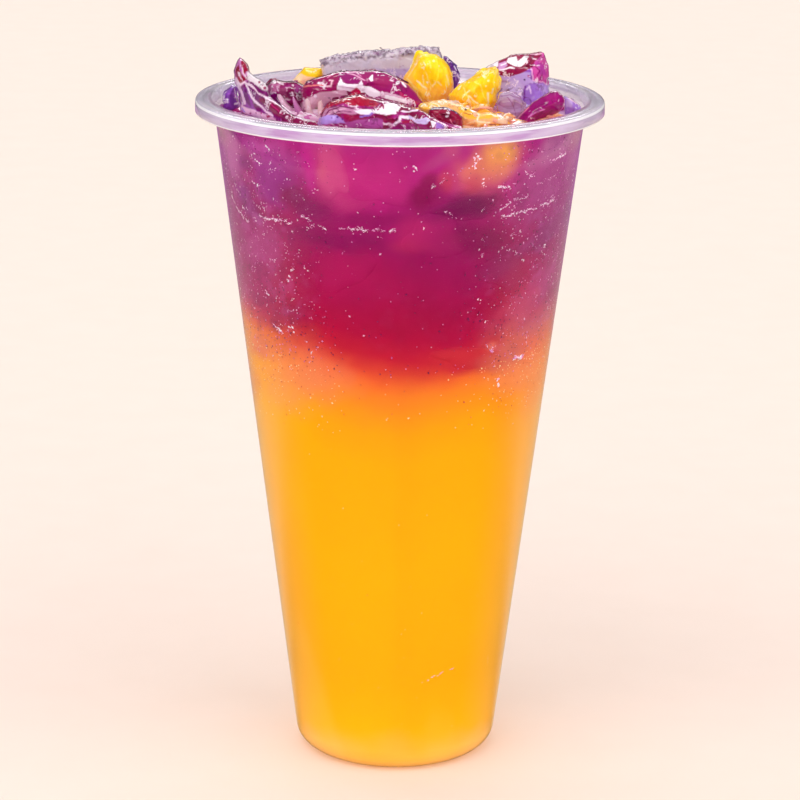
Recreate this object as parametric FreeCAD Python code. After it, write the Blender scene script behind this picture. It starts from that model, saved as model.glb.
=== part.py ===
import FreeCAD, Part
import os
import math

from FreeCAD import Vector, Placement, Rotation

os.makedirs("parts", exist_ok=True)

# ---------------------------------------------------------------------------
# Pineapple lemonade in a tall clear plastic cup.
# Millimetres.  Origin at the middle of the cup's foot, +Z up, +X to the right,
# -Y towards the front (the side the tall ice shard and the arches face).
# ---------------------------------------------------------------------------

# cup
RIM_R = 47.5            # outer radius of the rim (95 mm lid size)
CUP_H = 159.0           # height to the top of the rim
WALL_R0 = 23.65         # outer wall radius carried down to the foot plane
WALL_SLOPE = 0.1246     # growth of the outer radius per mm of height
WALL_T = 0.60           # wall thickness, measured square to the wall
FOOT_ROUND = 5.0        # outer rounding between wall and foot
INNER_ROUND = 4.3       # inner rounding between wall and floor
FLOOR_Z = 1.9           # top of the cup's floor
RECESS_R = 17.3         # hollow under the floor, inside the foot ring
RECESS_Z = 0.8          # height of that hollow
SKIRT_T = 0.8           # thickness of the hanging skirt of the rim
SKIRT_DROP = 3.3        # how far the skirt hangs below the rim's top
SEAT_R = 43.65          # inner edge of the rim's flat top
SEAT_DEPTH = 2.8        # depth of the lid seat below the rim's top
GROOVE_R = 45.6         # fine ring groove on the flat top of the rim

# drink
LEVEL_Z = 154.6         # level of the drink
LAYER_Z = 101.5         # middle height of the boundary between the two layers
LAYER_TILT = 7.0        # degrees: the purple layer hangs lower on the right
FIT = 0.02              # clearance between the drink and the wall


def wall_out(z):
    return WALL_R0 + WALL_SLOPE * z


ALPHA = math.atan(WALL_SLOPE)


def wall_in(z, inset=0.0):
    return wall_out(z) - (WALL_T + inset) / math.cos(ALPHA)


def P(r, z):
    return Vector(r, 0, z)


def seg(a, b):
    return Part.LineSegment(a, b).toShape()


def arc3(a, b, c):
    return Part.Arc(a, b, c).toShape()


def corner(line_r0, floor_z, radius):
    """Arc between a floor at floor_z and the tapered wall line r0 + slope*z."""
    rc = line_r0 - radius / math.cos(ALPHA) + (floor_z + radius) * math.tan(ALPHA)
    zc = floor_z + radius
    start = P(rc, floor_z)
    end = P(rc + radius * math.cos(ALPHA), zc - radius * math.sin(ALPHA))
    mid_angle = (-math.pi / 2 + (-ALPHA)) / 2
    mid = P(rc + radius * math.cos(mid_angle), zc + radius * math.sin(mid_angle))
    return start, mid, end


def turn_profile(edges):
    face = Part.Face(Part.Wire(edges))
    return face.revolve(Vector(0, 0, 0), Vector(0, 0, 1), 360)


# ---------------------------------------------------------------------------
# cup: one thin revolved wall with a foot ring, a lid seat and an L-shaped rim
# ---------------------------------------------------------------------------
def make_cup():
    H = CUP_H
    o1, o2, o3 = corner(WALL_R0, 0.0, FOOT_ROUND)
    i1, i2, i3 = corner(wall_in(0.0), FLOOR_Z, INNER_ROUND)
    under = [P(0, RECESS_Z), P(RECESS_R - 0.9, RECESS_Z), P(RECESS_R, 0.0), o1]
    edges = [seg(under[k], under[k + 1]) for k in range(3)]
    edges.append(arc3(o1, o2, o3))
    skirt_in = RIM_R - SKIRT_T
    # outside of the wall, under the rim, down and round the skirt, over the top
    outer = [
        o3,
        P(wall_out(H - 4.6), H - 4.6),
        P(SEAT_R + 0.65, H - 2.9),
        P(SEAT_R + 0.65, H - 1.0),
        P(skirt_in - 0.25, H - 1.05),
        P(skirt_in, H - 1.35),
        P(skirt_in, H - SKIRT_DROP),
        P(RIM_R - 0.12, H - SKIRT_DROP),
        P(RIM_R, H - SKIRT_DROP + 0.15),
        P(RIM_R, H - 0.95),
    ]
    edges += [seg(outer[k], outer[k + 1]) for k in range(len(outer) - 1)]
    lip_end = P(RIM_R - 0.8, H - 0.16)
    edges.append(arc3(outer[-1], P(RIM_R - 0.22, H - 0.40), lip_end))
    top = [
        lip_end,
        P(GROOVE_R + 0.28, H - 0.08),
        P(GROOVE_R, H - 0.26),
        P(GROOVE_R - 0.28, H - 0.04),
        P(SEAT_R + 0.25, H),
        P(SEAT_R, H - 0.22),
        P(SEAT_R - 0.25, H - 1.3),
        P(wall_in(H - SEAT_DEPTH), H - SEAT_DEPTH),
        i3,
    ]
    edges += [seg(top[k], top[k + 1]) for k in range(len(top) - 1)]
    edges.append(arc3(i3, i2, i1))
    edges.append(seg(i1, P(0, FLOOR_Z)))
    edges.append(seg(P(0, FLOOR_Z), P(0, RECESS_Z)))
    return turn_profile(edges)


# ---------------------------------------------------------------------------
# drink: everything inside the wall up to the level, in two layers
# ---------------------------------------------------------------------------
def make_drink():
    r0 = wall_in(0.0, FIT)
    i1, i2, i3 = corner(r0, FLOOR_Z + FIT, INNER_ROUND)
    top = P(r0 + WALL_SLOPE * LEVEL_Z, LEVEL_Z)
    edges = [
        seg(P(0, FLOOR_Z + FIT), i1),
        arc3(i1, i2, i3),
        seg(i3, top),
        seg(top, P(0, LEVEL_Z)),
        seg(P(0, LEVEL_Z), P(0, FLOOR_Z + FIT)),
    ]
    return turn_profile(edges)


def below_plane(z_mid, tilt):
    """A big block whose top face is the boundary plane, tilted about Y."""
    size = 400.0
    box = Part.makeBox(size, size, size, Vector(-size / 2, -size / 2, -size))
    box.Placement = Placement(Vector(0, 0, z_mid), Rotation(Vector(0, 1, 0), tilt))
    return box


# ---------------------------------------------------------------------------
# ice and fruit shapes
# ---------------------------------------------------------------------------
def place(shape, at, turn):
    """Turn by yaw (about Z), pitch (about Y) and roll (about X), then move."""
    yaw, pitch, roll = turn
    rot = Rotation(Vector(0, 0, 1), yaw).multiply(
        Rotation(Vector(0, 1, 0), pitch)).multiply(Rotation(Vector(1, 0, 0), roll))
    out = shape.copy()
    out.Placement = Placement(Vector(*at), rot)
    return out


def soften(shape, radius):
    """Round every edge, with a smaller radius where the full one won't fit."""
    for r in (radius, radius * 0.6, radius * 0.35):
        if r <= 0.05:
            break
        try:
            out = shape.makeFillet(r, shape.Edges)
            if out.isValid() and 0.5 * shape.Volume < out.Volume <= 1.001 * shape.Volume:
                return out
        except Exception:
            pass
    return shape


def trim(shape, direction, distance):
    """Cut off what lies beyond a plane square to direction, at distance."""
    d = Vector(*direction)
    d.normalize()
    size = 200.0
    box = Part.makeBox(size, size, size, Vector(-size / 2, -size / 2, 0))
    box.Placement = Placement(d * distance, Rotation(Vector(0, 0, 1), d))
    return shape.cut(box)


def block(size, trims, edge, at, turn):
    """A broken block: a box with its corners split off along planes."""
    w, d, h = size
    shape = Part.makeBox(w, d, h, Vector(-w / 2, -d / 2, -h / 2))
    for direction, distance in trims:
        shape = trim(shape, direction, distance)
    return place(soften(shape, edge), at, turn)


def crescent(outer_r, hollow_r, hollow_drop, width, foot, edge, at, turn):
    """An arch of ice: a short cylinder lying on its side, hollowed from below
    by a second one, cut off level at foot below the axis."""
    shape = Part.makeCylinder(outer_r, width, Vector(0, -width / 2, 0), Vector(0, 1, 0))
    hollow = Part.makeCylinder(hollow_r, width * 2, Vector(0, -width, -hollow_drop), Vector(0, 1, 0))
    shape = shape.cut(hollow)
    shape = trim(shape, (0, 0, -1), foot)
    solids = shape.Solids
    shape = max(solids, key=lambda s: s.Volume)
    return place(soften(shape, edge), at, turn)


def lens(radius, half_thick, edge, at, turn):
    """A lens-shaped flake: two spherical caps back to back."""
    big = (radius ** 2 + half_thick ** 2) / (2 * half_thick)
    a = Part.makeSphere(big, Vector(0, 0, -(big - half_thick)))
    b = Part.makeSphere(big, Vector(0, 0, big - half_thick))
    return place(a.common(b), at, turn)


def shard(outline, thick, edge, at, turn):
    """A flat splinter of ice: an outline in the XZ plane given a thickness."""
    pts = [Vector(x, 0, z) for x, z in outline]
    face = Part.Face(Part.makePolygon(pts + [pts[0]]))
    shape = face.extrude(Vector(0, thick, 0))
    return place(soften(shape, edge), at, turn)


def wedge(length, depth, height, lean, edge, at, turn, trims=()):
    """A fruit chunk cut like a slice of a ring: wide below, narrow on top."""
    top = 1.0 - lean
    pts = []
    for sx, sy in ((-1, -1), (1, -1), (1, 1), (-1, 1)):
        pts.append(Vector(sx * length / 2, sy * depth / 2, -height / 2))
    low = Part.makePolygon(pts + [pts[0]])
    pts2 = [Vector(p.x * top + 0.12 * length, p.y * top, height / 2) for p in pts]
    high = Part.makePolygon(pts2 + [pts2[0]])
    shape = Part.makeLoft([low, high], True, True)
    for direction, distance in trims:
        shape = trim(shape, direction, distance)
    return place(soften(shape, edge), at, turn)


# the spike's upper edge falls off from its tip: (distance along, height) steps
SPIKE_L = 36.0          # length along the wall
SPIKE_H = 18.4          # height at the tip
SPIKE_FALL = 0.085      # how fast the upper edge drops


def spike_outline(steps=6):
    """Foot, steep end, tip, and an upper edge that drops ever more slowly."""
    pts = [(0.0, 0.0), (-0.6, SPIKE_H * 0.55), (0.5, SPIKE_H), (2.6, SPIKE_H - 0.3)]
    low = 6.2
    for k in range(1, steps + 1):
        x = 3.0 + (SPIKE_L - 3.0) * (k - 0.45) / steps
        pts.append((x, low + (SPIKE_H - low) * math.exp(-SPIKE_FALL * x)))
    pts += [(SPIKE_L, 4.2), (SPIKE_L - 1.0, 0.0)]
    return pts


# name, builder and sizes; at = centre (x, y, z); turn = (yaw, pitch, roll)
PIECES = [
    # tall spike at the left, leaning on the wall and running to the front
    ("ice_spike", lambda: shard(
        spike_outline(), 5.4, 1.1, (-39.6, -1.8, 150.2), (-56.5, 0.0, -2.0))),
    # lump low on the far left, beside the spike
    ("ice_left_lump", lambda: block(
        (6.5, 7.5, 9.0),
        [((1, 0.3, 1), 4.6), ((-1, 0.2, 1), 4.2), ((0, -1, 0.8), 4.0)],
        0.9, (-37.2, 6.4, 156.0), (20.0, -8.0, 0.0))),
    # broken facetted lump behind the spike
    ("ice_facetted_lump", lambda: block(
        (11.5, 10.0, 10.5),
        [((1, 0, 1), 6.2), ((-1, 0.4, 1), 5.9), ((0.2, -1, 1), 5.7), ((0.6, 0.6, 1), 6.0)],
        0.8, (-26.4, 5.4, 157.0), (14.0, 6.0, 0.0))),
    # tall arch in the middle
    ("ice_middle_arch", lambda: crescent(
        24.8, 19.6, 1.8, 11.0, -11.5, 1.2, (-8.6, 0.6, 139.4), (-6.0, 8.5, 4.0))),
    # lower arch at the front
    ("ice_front_arch", lambda: crescent(
        20.8, 16.6, 1.6, 11.4, -7.5, 1.1, (-3.6, -22.4, 141.3), (-14.0, 3.0, 5.0))),
    # small dark arch at the front, right of the middle
    ("ice_small_arch", lambda: crescent(
        5.6, 3.4, 2.4, 5.6, 1.8, 0.5, (11.2, -27.0, 155.3), (14.0, 6.0, 0.0))),
    # clear slab standing at the back
    ("ice_back_slab", lambda: block(
        (28.5, 6.5, 15.5),
        [((-1, 0, 1.6), 12.6), ((1, 0, 2.2), 13.0), ((0, 1, 1.5), 6.8)],
        0.9, (-4.3, 22.4, 158.6), (-4.0, -3.4, 4.0))),
    # shard behind the tall fruit chunk
    ("ice_back_shard", lambda: block(
        (5.0, 7.0, 15.4),
        [((1, 0, 1), 5.8), ((-0.4, 1, 1), 6.6)],
        0.8, (11.8, 21.4, 157.8), (12.0, 5.0, 0.0))),
    # tall block at the right
    ("ice_right_block", lambda: block(
        (12.0, 10.0, 17.5),
        [((-1, 0, 1.25), 8.4), ((1, -0.3, 1.9), 9.2), ((0.1, -1, 0.9), 8.0), ((-1, -1, 0.2), 7.4)],
        1.0, (28.3, 8.4, 158.4), (-6.0, -6.0, 4.0))),
    # dark lens at the right front
    ("ice_right_lens", lambda: lens(
        7.4, 2.9, 0.0, (31.2, -14.4, 158.0), (0.0, -32.0, 20.0))),
    # small lump far right
    ("ice_right_lump", lambda: block(
        (5.4, 8.0, 7.0),
        [((1, 0, 1), 3.8), ((-1, -0.4, 1.2), 3.9), ((0, 1, 1), 4.6)],
        0.7, (38.2, 0.6, 155.3), (8.0, 0.0, 0.0))),
    # clear chip between the second fruit chunk and the right block
    ("ice_clear_chip", lambda: block(
        (6.0, 6.0, 9.5),
        [((1, 0, 1), 4.6), ((-1, 0.5, 1), 4.5), ((0, -1, 1), 4.5)],
        0.7, (24.4, -6.6, 157.4), (25.0, 8.0, 0.0))),
    # tall fruit chunk, back of the middle
    ("pineapple_tall", lambda: wedge(
        12.0, 8.5, 15.4, 0.46, 1.2, (6.6, 11.6, 160.0), (-12.0, -4.0, 0.0),
        [((-1, 0, 0.9), 8.4)])),
    # second fruit chunk, leaning to the right
    ("pineapple_leaning", lambda: wedge(
        11.0, 8.0, 13.6, 0.40, 1.1, (16.4, 1.2, 158.5), (-8.0, 24.0, 0.0),
        [((1, 0, 0.6), 6.4)])),
    # small fruit chunk at the back left
    ("pineapple_back", lambda: wedge(
        8.6, 7.0, 9.0, 0.25, 1.0, (-22.2, 24.4, 156.6), (10.0, 6.0, 0.0))),
    # soft wet fruit at the front right
    ("pineapple_front", lambda: wedge(
        17.0, 9.6, 8.4, 0.22, 1.2, (16.2, -18.8, 156.4), (18.0, -2.0, -6.0))),
]


def main():
    nodes = {"cup": make_cup()}
    drink = make_drink()

    keep_in = Part.makeCone(wall_in(120.0) - 0.6, wall_in(CUP_H + 20.0) - 0.6, CUP_H - 100.0,
                            Vector(0, 0, 120.0))
    done = []
    for name, build in PIECES:
        shape = build()
        shape = shape.common(keep_in)
        for other in done:
            if shape.BoundBox.intersect(other.BoundBox):
                shape = shape.cut(other)
        shape = max(shape.Solids, key=lambda s: s.Volume)
        done.append(shape)
        nodes[name] = shape

    for shape in done:
        if shape.BoundBox.ZMin < LEVEL_Z:
            drink = drink.cut(shape)
    drink = max(drink.Solids, key=lambda s: s.Volume)
    lower_half = below_plane(LAYER_Z, LAYER_TILT)
    nodes["drink_lower"] = max(drink.common(lower_half).Solids, key=lambda s: s.Volume)
    nodes["drink_upper"] = max(drink.cut(lower_half).Solids, key=lambda s: s.Volume)

    for name, shape in nodes.items():
        b = shape.optimalBoundingBox()
        print("%-18s valid %s solids %d volume %8.1f  x %.1f..%.1f y %.1f..%.1f z %.1f..%.1f" % (
            name, shape.isValid(), len(shape.Solids), shape.Volume,
            b.XMin, b.XMax, b.YMin, b.YMax, b.ZMin, b.ZMax))
        shape.exportStep("parts/%s.step" % name)


main()
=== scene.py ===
import bpy
import math
import numpy as np
from mathutils import Matrix


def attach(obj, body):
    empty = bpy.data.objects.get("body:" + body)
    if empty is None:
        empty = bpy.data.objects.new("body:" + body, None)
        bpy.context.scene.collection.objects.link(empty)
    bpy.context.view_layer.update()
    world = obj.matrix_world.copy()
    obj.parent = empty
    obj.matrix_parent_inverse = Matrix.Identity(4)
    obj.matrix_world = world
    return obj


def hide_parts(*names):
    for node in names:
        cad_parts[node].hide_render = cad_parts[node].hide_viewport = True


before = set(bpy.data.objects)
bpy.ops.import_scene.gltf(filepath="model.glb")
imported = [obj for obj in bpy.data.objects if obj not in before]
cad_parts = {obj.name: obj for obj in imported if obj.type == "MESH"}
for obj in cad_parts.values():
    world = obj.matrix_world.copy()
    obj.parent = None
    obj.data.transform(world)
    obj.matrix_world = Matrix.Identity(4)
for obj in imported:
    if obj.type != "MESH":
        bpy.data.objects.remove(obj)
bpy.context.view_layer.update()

MM = 0.001

# ---------------------------------------------------------------------------
# camera: the eye stands 0.7 m from the drink, a little above it
# ---------------------------------------------------------------------------
EYE_DIST = 0.700
EYE_ELEV = math.radians(15.423)
AIM_Z = 0.08576
cam_data = bpy.data.cameras.new("camera")
cam_data.sensor_width = 36.0
cam_data.lens = 2931.55 * 36.0 / 800.0
cam_data.clip_start = 0.02
cam_data.clip_end = 30.0
cam = bpy.data.objects.new("camera", cam_data)
bpy.context.scene.collection.objects.link(cam)
cam.location = (0.00059, -EYE_DIST * math.cos(EYE_ELEV), AIM_Z + EYE_DIST * math.sin(EYE_ELEV))
cam.rotation_euler = (Matrix.Rotation(math.pi / 2 - EYE_ELEV, 3, "X")
                      @ Matrix.Rotation(math.radians(0.484), 3, "Z")).to_euler()
bpy.context.scene.camera = cam

vs = bpy.context.scene.view_settings
vs.view_transform = "Standard"
vs.look = "None"
vs.exposure = 0.0
vs.gamma = 1.0

# ---------------------------------------------------------------------------
# small helpers: colours, noise, meshes, nodes
# ---------------------------------------------------------------------------
def lin(r, g, b):
    """A screen colour (0-255) as linear light."""
    out = []
    for v in (r, g, b):
        v = v / 255.0
        out.append(v / 12.92 if v <= 0.04045 else ((v + 0.055) / 1.055) ** 2.4)
    return tuple(out)


def _hash(ix, iy, iz, seed):
    h = (ix.astype(np.int64) * 374761393 + iy.astype(np.int64) * 668265263
         + iz.astype(np.int64) * 2147483647 + seed * 1274126177) & 0xFFFFFFFF
    h = ((h ^ (h >> 13)) * 1274126177) & 0xFFFFFFFF
    h = ((h ^ (h >> 16)) * 2246822519) & 0xFFFFFFFF
    h = h ^ (h >> 15)
    return (h & 0xFFFFFF).astype(np.float64) / float(0x7FFFFF) - 1.0


def noise3(p, scale, seed=0):
    """Smooth value noise in -1..1 at points p (N, 3), with features of size scale."""
    q = p / scale
    i = np.floor(q)
    f = q - i
    u = f * f * f * (f * (f * 6 - 15) + 10)
    i = i.astype(np.int64)
    out = np.zeros(len(p))
    for dx in (0, 1):
        wx = u[:, 0] if dx else 1 - u[:, 0]
        for dy in (0, 1):
            wy = u[:, 1] if dy else 1 - u[:, 1]
            for dz in (0, 1):
                wz = u[:, 2] if dz else 1 - u[:, 2]
                out += wx * wy * wz * _hash(i[:, 0] + dx, i[:, 1] + dy, i[:, 2] + dz, seed)
    return out


def fbm(p, scale, seed=0, octaves=3):
    out = np.zeros(len(p))
    a, tot = 1.0, 0.0
    for k in range(octaves):
        out += a * noise3(p + 17.3 * k, scale / 2 ** k, seed + 31 * k)
        tot += a
        a *= 0.5
    return out / tot


def smoothstep(a, b, x):
    t = np.clip((x - a) / (b - a), 0.0, 1.0)
    return t * t * (3 - 2 * t)


def smax(a, b, k):
    h = np.clip(0.5 + 0.5 * (a - b) / k, 0.0, 1.0)
    return b * (1 - h) + a * h + k * h * (1 - h)


def smin(a, b, k):
    return -smax(-a, -b, k)


def colour_by(s, stops, edge=0.03):
    """Colours by the value s, with crisp steps between them."""
    col = np.tile(np.array(lin(*stops[0][1])), (len(s), 1))
    for v, c in stops[1:]:
        w = smoothstep(v - edge, v + edge, s)[:, None]
        col = col * (1 - w) + np.array(lin(*c)) * w
    return col


def over(col, mask, c):
    c = np.array(lin(*c))
    return col * (1 - mask[:, None]) + c * mask[:, None]


def turn_matrix(turn):
    yaw, pitch, roll = (math.radians(t) for t in turn)
    return np.array(Matrix.Rotation(yaw, 3, "Z") @ Matrix.Rotation(pitch, 3, "Y")
                    @ Matrix.Rotation(roll, 3, "X"))


def surface_net(fn, lo, hi, cell):
    """The surface fn(p) = 0 as vertices and quads, by naive surface nets."""
    lo = np.array(lo, float)
    n = np.ceil((np.array(hi, float) - lo) / cell).astype(int) + 1
    ax = [lo[k] + cell * np.arange(n[k]) for k in range(3)]
    g = np.stack(np.meshgrid(*ax, indexing="ij"), -1).reshape(-1, 3)
    val = np.empty(len(g))
    for s in range(0, len(g), 400000):
        val[s:s + 400000] = fn(g[s:s + 400000])
    val = val.reshape(n)
    # closed at the grid's border
    for k in range(3):
        sl = [slice(None)] * 3
        for e in (0, -1):
            sl[k] = e
            val[tuple(sl)] = np.maximum(val[tuple(sl)], cell * 0.5)
    ins = val < 0
    m = n - 1
    acc = np.zeros(tuple(m) + (3,))
    cnt = np.zeros(tuple(m))

    def corner(dx, dy, dz, a):
        return a[dx:dx + m[0], dy:dy + m[1], dz:dz + m[2]]

    corners = [(a, b, c) for a in (0, 1) for b in (0, 1) for c in (0, 1)]
    for c0 in corners:
        for k in range(3):
            if c0[k]:
                continue
            c1 = tuple(1 if j == k else c0[j] for j in range(3))
            a, b = corner(*c0, val), corner(*c1, val)
            cross = (a < 0) != (b < 0)
            t = np.where(cross, a / np.where(cross, a - b, 1.0), 0.0)
            for j in range(3):
                acc[..., j] += np.where(cross, c0[j] + (t if j == k else 0.0), 0.0)
            cnt += cross
    act = cnt > 0
    idx = -np.ones(tuple(m), dtype=np.int64)
    idx[act] = np.arange(act.sum())
    cells = np.argwhere(act)
    verts = lo + cell * (cells + acc[act] / cnt[act][:, None])
    quads = []
    for k in range(3):
        u, v = (k + 1) % 3, (k + 2) % 3
        sl0 = [slice(1, m[j]) if j != k else slice(0, m[j]) for j in range(3)]
        a = val[tuple(sl0)]
        sl1 = list(sl0)
        sl1[k] = slice(1, m[k] + 1)
        b = val[tuple(sl1)]
        for sign in (0, 1):
            hit = np.argwhere((a < 0) & (b >= 0)) if sign == 0 else np.argwhere((a >= 0) & (b < 0))
            if not len(hit):
                continue
            base = hit.copy()
            for j in range(3):
                if j != k:
                    base[:, j] += 1
            def cellid(du, dv):
                q = base.copy()
                q[:, u] -= du
                q[:, v] -= dv
                return idx[q[:, 0], q[:, 1], q[:, 2]]
            ring = [cellid(1, 1), cellid(0, 1), cellid(0, 0), cellid(1, 0)]
            quad = np.stack(ring, 1)
            quads.append(quad if sign == 0 else quad[:, ::-1])
    quads = np.concatenate(quads)
    quads = quads[(quads >= 0).all(1)]
    return verts, quads


def relax(verts, quads, times=2, amount=0.5):
    """Laplacian smoothing of a quad mesh."""
    e = np.concatenate([quads[:, [0, 1]], quads[:, [1, 2]], quads[:, [2, 3]], quads[:, [3, 0]]])
    for _ in range(times):
        s = np.zeros_like(verts)
        c = np.zeros(len(verts))
        for a, b in ((0, 1), (1, 0)):
            np.add.at(s, e[:, a], verts[e[:, b]])
            np.add.at(c, e[:, a], 1)
        verts = verts + amount * (s / np.maximum(c, 1)[:, None] - verts)
    return verts


def largest_part(verts, quads):
    """Keeps the biggest connected part, so no stray crumbs float about."""
    label = np.arange(len(verts))
    while True:
        low = np.minimum.reduceat(label[quads.ravel()], np.arange(0, quads.size, 4))
        new = label.copy()
        for j in range(4):
            np.minimum.at(new, quads[:, j], low)
        new = new[new]
        if (new == label).all():
            break
        label = new
    lab, count = np.unique(label[quads[:, 0]], return_counts=True)
    keep = lab[count.argmax()]
    q = quads[label[quads[:, 0]] == keep]
    used = np.unique(q)
    remap = -np.ones(len(verts), dtype=np.int64)
    remap[used] = np.arange(len(used))
    return verts[used], remap[q]


def make_object(name, verts_mm, faces, mat, smooth=True):
    """A mesh object from vertices in mm and equal-sided faces."""
    me = bpy.data.meshes.new(name)
    v = np.asarray(verts_mm, float) * MM
    f = np.asarray(faces)
    k = f.shape[1]
    me.vertices.add(len(v))
    me.vertices.foreach_set("co", v.ravel())
    me.loops.add(f.size)
    me.loops.foreach_set("vertex_index", f.ravel().astype(np.int32))
    me.polygons.add(len(f))
    me.polygons.foreach_set("loop_start", np.arange(0, f.size, k, dtype=np.int32))
    me.polygons.foreach_set("loop_total", np.full(len(f), k, dtype=np.int32))
    me.polygons.foreach_set("use_smooth", np.full(len(f), smooth, dtype=bool))
    me.update(calc_edges=True)
    me.validate()
    ob = bpy.data.objects.new(name, me)
    bpy.context.scene.collection.objects.link(ob)
    if mat is not None:
        me.materials.append(mat)
    return ob


def attribute(ob, name, values):
    """A colour (N, 3) or number (N,) for each vertex, for the material to read."""
    values = np.asarray(values, float)
    if values.ndim == 1:
        a = ob.data.attributes.new(name, "FLOAT", "POINT")
        a.data.foreach_set("value", values)
    else:
        a = ob.data.attributes.new(name, "FLOAT_COLOR", "POINT")
        a.data.foreach_set("color", np.concatenate([values, np.ones((len(values), 1))], 1).ravel())


class Nodes:
    """A thin way to build node materials."""

    def __init__(self, name):
        self.mat = bpy.data.materials.new(name)
        self.mat.use_nodes = True
        self.t = self.mat.node_tree
        self.t.nodes.clear()
        self.out = self.t.nodes.new("ShaderNodeOutputMaterial")

    def new(self, kind, **props):
        n = self.t.nodes.new(kind)
        for k, v in props.items():
            setattr(n, k, v)
        return n

    def link(self, a, b):
        self.t.links.new(a, b)

    def value(self, sock, v):
        if hasattr(v, "is_output") or isinstance(v, bpy.types.NodeSocket):
            self.link(v, sock)
        else:
            sock.default_value = v

    def attr(self, name):
        n = self.new("ShaderNodeAttribute")
        n.attribute_type = "GEOMETRY"
        n.attribute_name = name
        return n

    def noise(self, scale, detail=3.0, rough=0.5, vec=None, dist=0.0):
        n = self.new("ShaderNodeTexNoise")
        n.inputs["Scale"].default_value = scale
        n.inputs["Detail"].default_value = detail
        n.inputs["Roughness"].default_value = rough
        n.inputs["Distortion"].default_value = dist
        if vec is not None:
            self.link(vec, n.inputs["Vector"])
        return n.outputs["Fac"]

    def coords(self):
        return self.new("ShaderNodeTexCoord").outputs["Object"]

    def math(self, op, a, b=0.5, c=None, clamp=False):
        n = self.new("ShaderNodeMath", operation=op, use_clamp=clamp)
        self.value(n.inputs[0], a)
        self.value(n.inputs[1], b)
        if c is not None:
            self.value(n.inputs[2], c)
        return n.outputs[0]

    def ramp(self, fac, stops, mode="LINEAR"):
        n = self.new("ShaderNodeValToRGB")
        n.color_ramp.interpolation = mode
        el = n.color_ramp.elements
        while len(el) > 1:
            el.remove(el[-1])
        el[0].position = stops[0][0]
        el[0].color = tuple(stops[0][1]) + (1.0,)
        for p, c in stops[1:]:
            e = el.new(p)
            e.color = tuple(c) + (1.0,)
        self.link(fac, n.inputs["Fac"])
        return n.outputs["Color"]

    def mix(self, fac, a, b, blend="MIX"):
        n = self.new("ShaderNodeMix", data_type="RGBA", blend_type=blend)
        self.value(n.inputs["Factor"], fac)
        for sock, v in ((n.inputs[6], a), (n.inputs[7], b)):
            if isinstance(v, tuple):
                sock.default_value = v + (1.0,) if len(v) == 3 else v
            else:
                self.link(v, sock)
        return n.outputs[2]

    def bump(self, height, strength, distance, normal=None):
        n = self.new("ShaderNodeBump")
        n.inputs["Strength"].default_value = strength
        n.inputs["Distance"].default_value = distance
        self.link(height, n.inputs["Height"])
        if normal is not None:
            self.link(normal, n.inputs["Normal"])
        return n.outputs["Normal"]

    def principled(self, **vals):
        n = self.new("ShaderNodeBsdfPrincipled")
        for k, v in vals.items():
            sock = n.inputs[k.replace("_", " ")]
            if isinstance(v, bpy.types.NodeSocket):
                self.link(v, sock)
            else:
                sock.default_value = v
        return n

    def finish(self, shader, lets_light_in=False):
        """Ends the material; with lets_light_in, shadow rays pass it as through clear plastic."""
        if lets_light_in:
            path = self.new("ShaderNodeLightPath")
            clear = self.new("ShaderNodeBsdfTransparent")
            mix = self.new("ShaderNodeMixShader")
            self.link(path.outputs["Is Shadow Ray"], mix.inputs[0])
            self.link(shader, mix.inputs[1])
            self.link(clear.outputs[0], mix.inputs[2])
            shader = mix.outputs[0]
        self.link(shader, self.out.inputs["Surface"])
        return self.mat


# ---------------------------------------------------------------------------
# the cup's measures, as in the CAD part (mm)
# ---------------------------------------------------------------------------
RIM_R, CUP_H = 47.5, 159.0
WALL_R0, WALL_SLOPE, WALL_T = 23.65, 0.1246, 0.60
ALPHA = math.atan(WALL_SLOPE)
FOOT_ROUND, INNER_ROUND, FLOOR_Z = 5.0, 4.3, 1.9
RECESS_R, RECESS_Z = 17.3, 0.8
SKIRT_T, SKIRT_DROP = 0.8, 3.3
SEAT_R, SEAT_DEPTH, GROOVE_R = 43.65, 2.8, 45.6
LEVEL_Z = 154.6


def wall_out(z):
    return WALL_R0 + WALL_SLOPE * z


def wall_in(z, inset=0.0):
    return wall_out(z) - (WALL_T + inset) / math.cos(ALPHA)


def corner_arc(line_r0, floor_z, radius, steps):
    rc = line_r0 - radius / math.cos(ALPHA) + (floor_z + radius) * math.tan(ALPHA)
    zc = floor_z + radius
    a = np.linspace(-math.pi / 2, -ALPHA, steps)
    return [(rc + radius * math.cos(t), zc + radius * math.sin(t)) for t in a]


def dense(points, step):
    """Adds points along a profile so that no span is longer than step."""
    out = [points[0]]
    for a, b in zip(points[:-1], points[1:]):
        d = math.hypot(b[0] - a[0], b[1] - a[1])
        n = max(1, int(math.ceil(d / step)))
        for k in range(1, n + 1):
            out.append((a[0] + (b[0] - a[0]) * k / n, a[1] + (b[1] - a[1]) * k / n))
    return out


def revolve(profile, seg, close_axis=True):
    """Turns an (r, z) profile about Z; ends with r = 0 become single points."""
    prof = list(profile)
    th = np.arange(seg) * 2 * math.pi / seg
    verts, rings = [], []
    for r, z in prof:
        if r < 1e-9:
            rings.append([len(verts)])
            verts.append((0.0, 0.0, z))
        else:
            rings.append(list(range(len(verts), len(verts) + seg)))
            verts.extend((r * math.cos(t), r * math.sin(t), z) for t in th)
    quads, tris = [], []
    for a, b in zip(rings[:-1], rings[1:]):
        for k in range(seg):
            k2 = (k + 1) % seg
            if len(a) == 1 and len(b) == 1:
                continue
            if len(a) == 1:
                tris.append((a[0], b[k2], b[k]))
            elif len(b) == 1:
                tris.append((a[k], a[k2], b[0]))
            else:
                quads.append((a[k], a[k2], b[k2], b[k]))
    return np.array(verts), quads, tris


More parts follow.
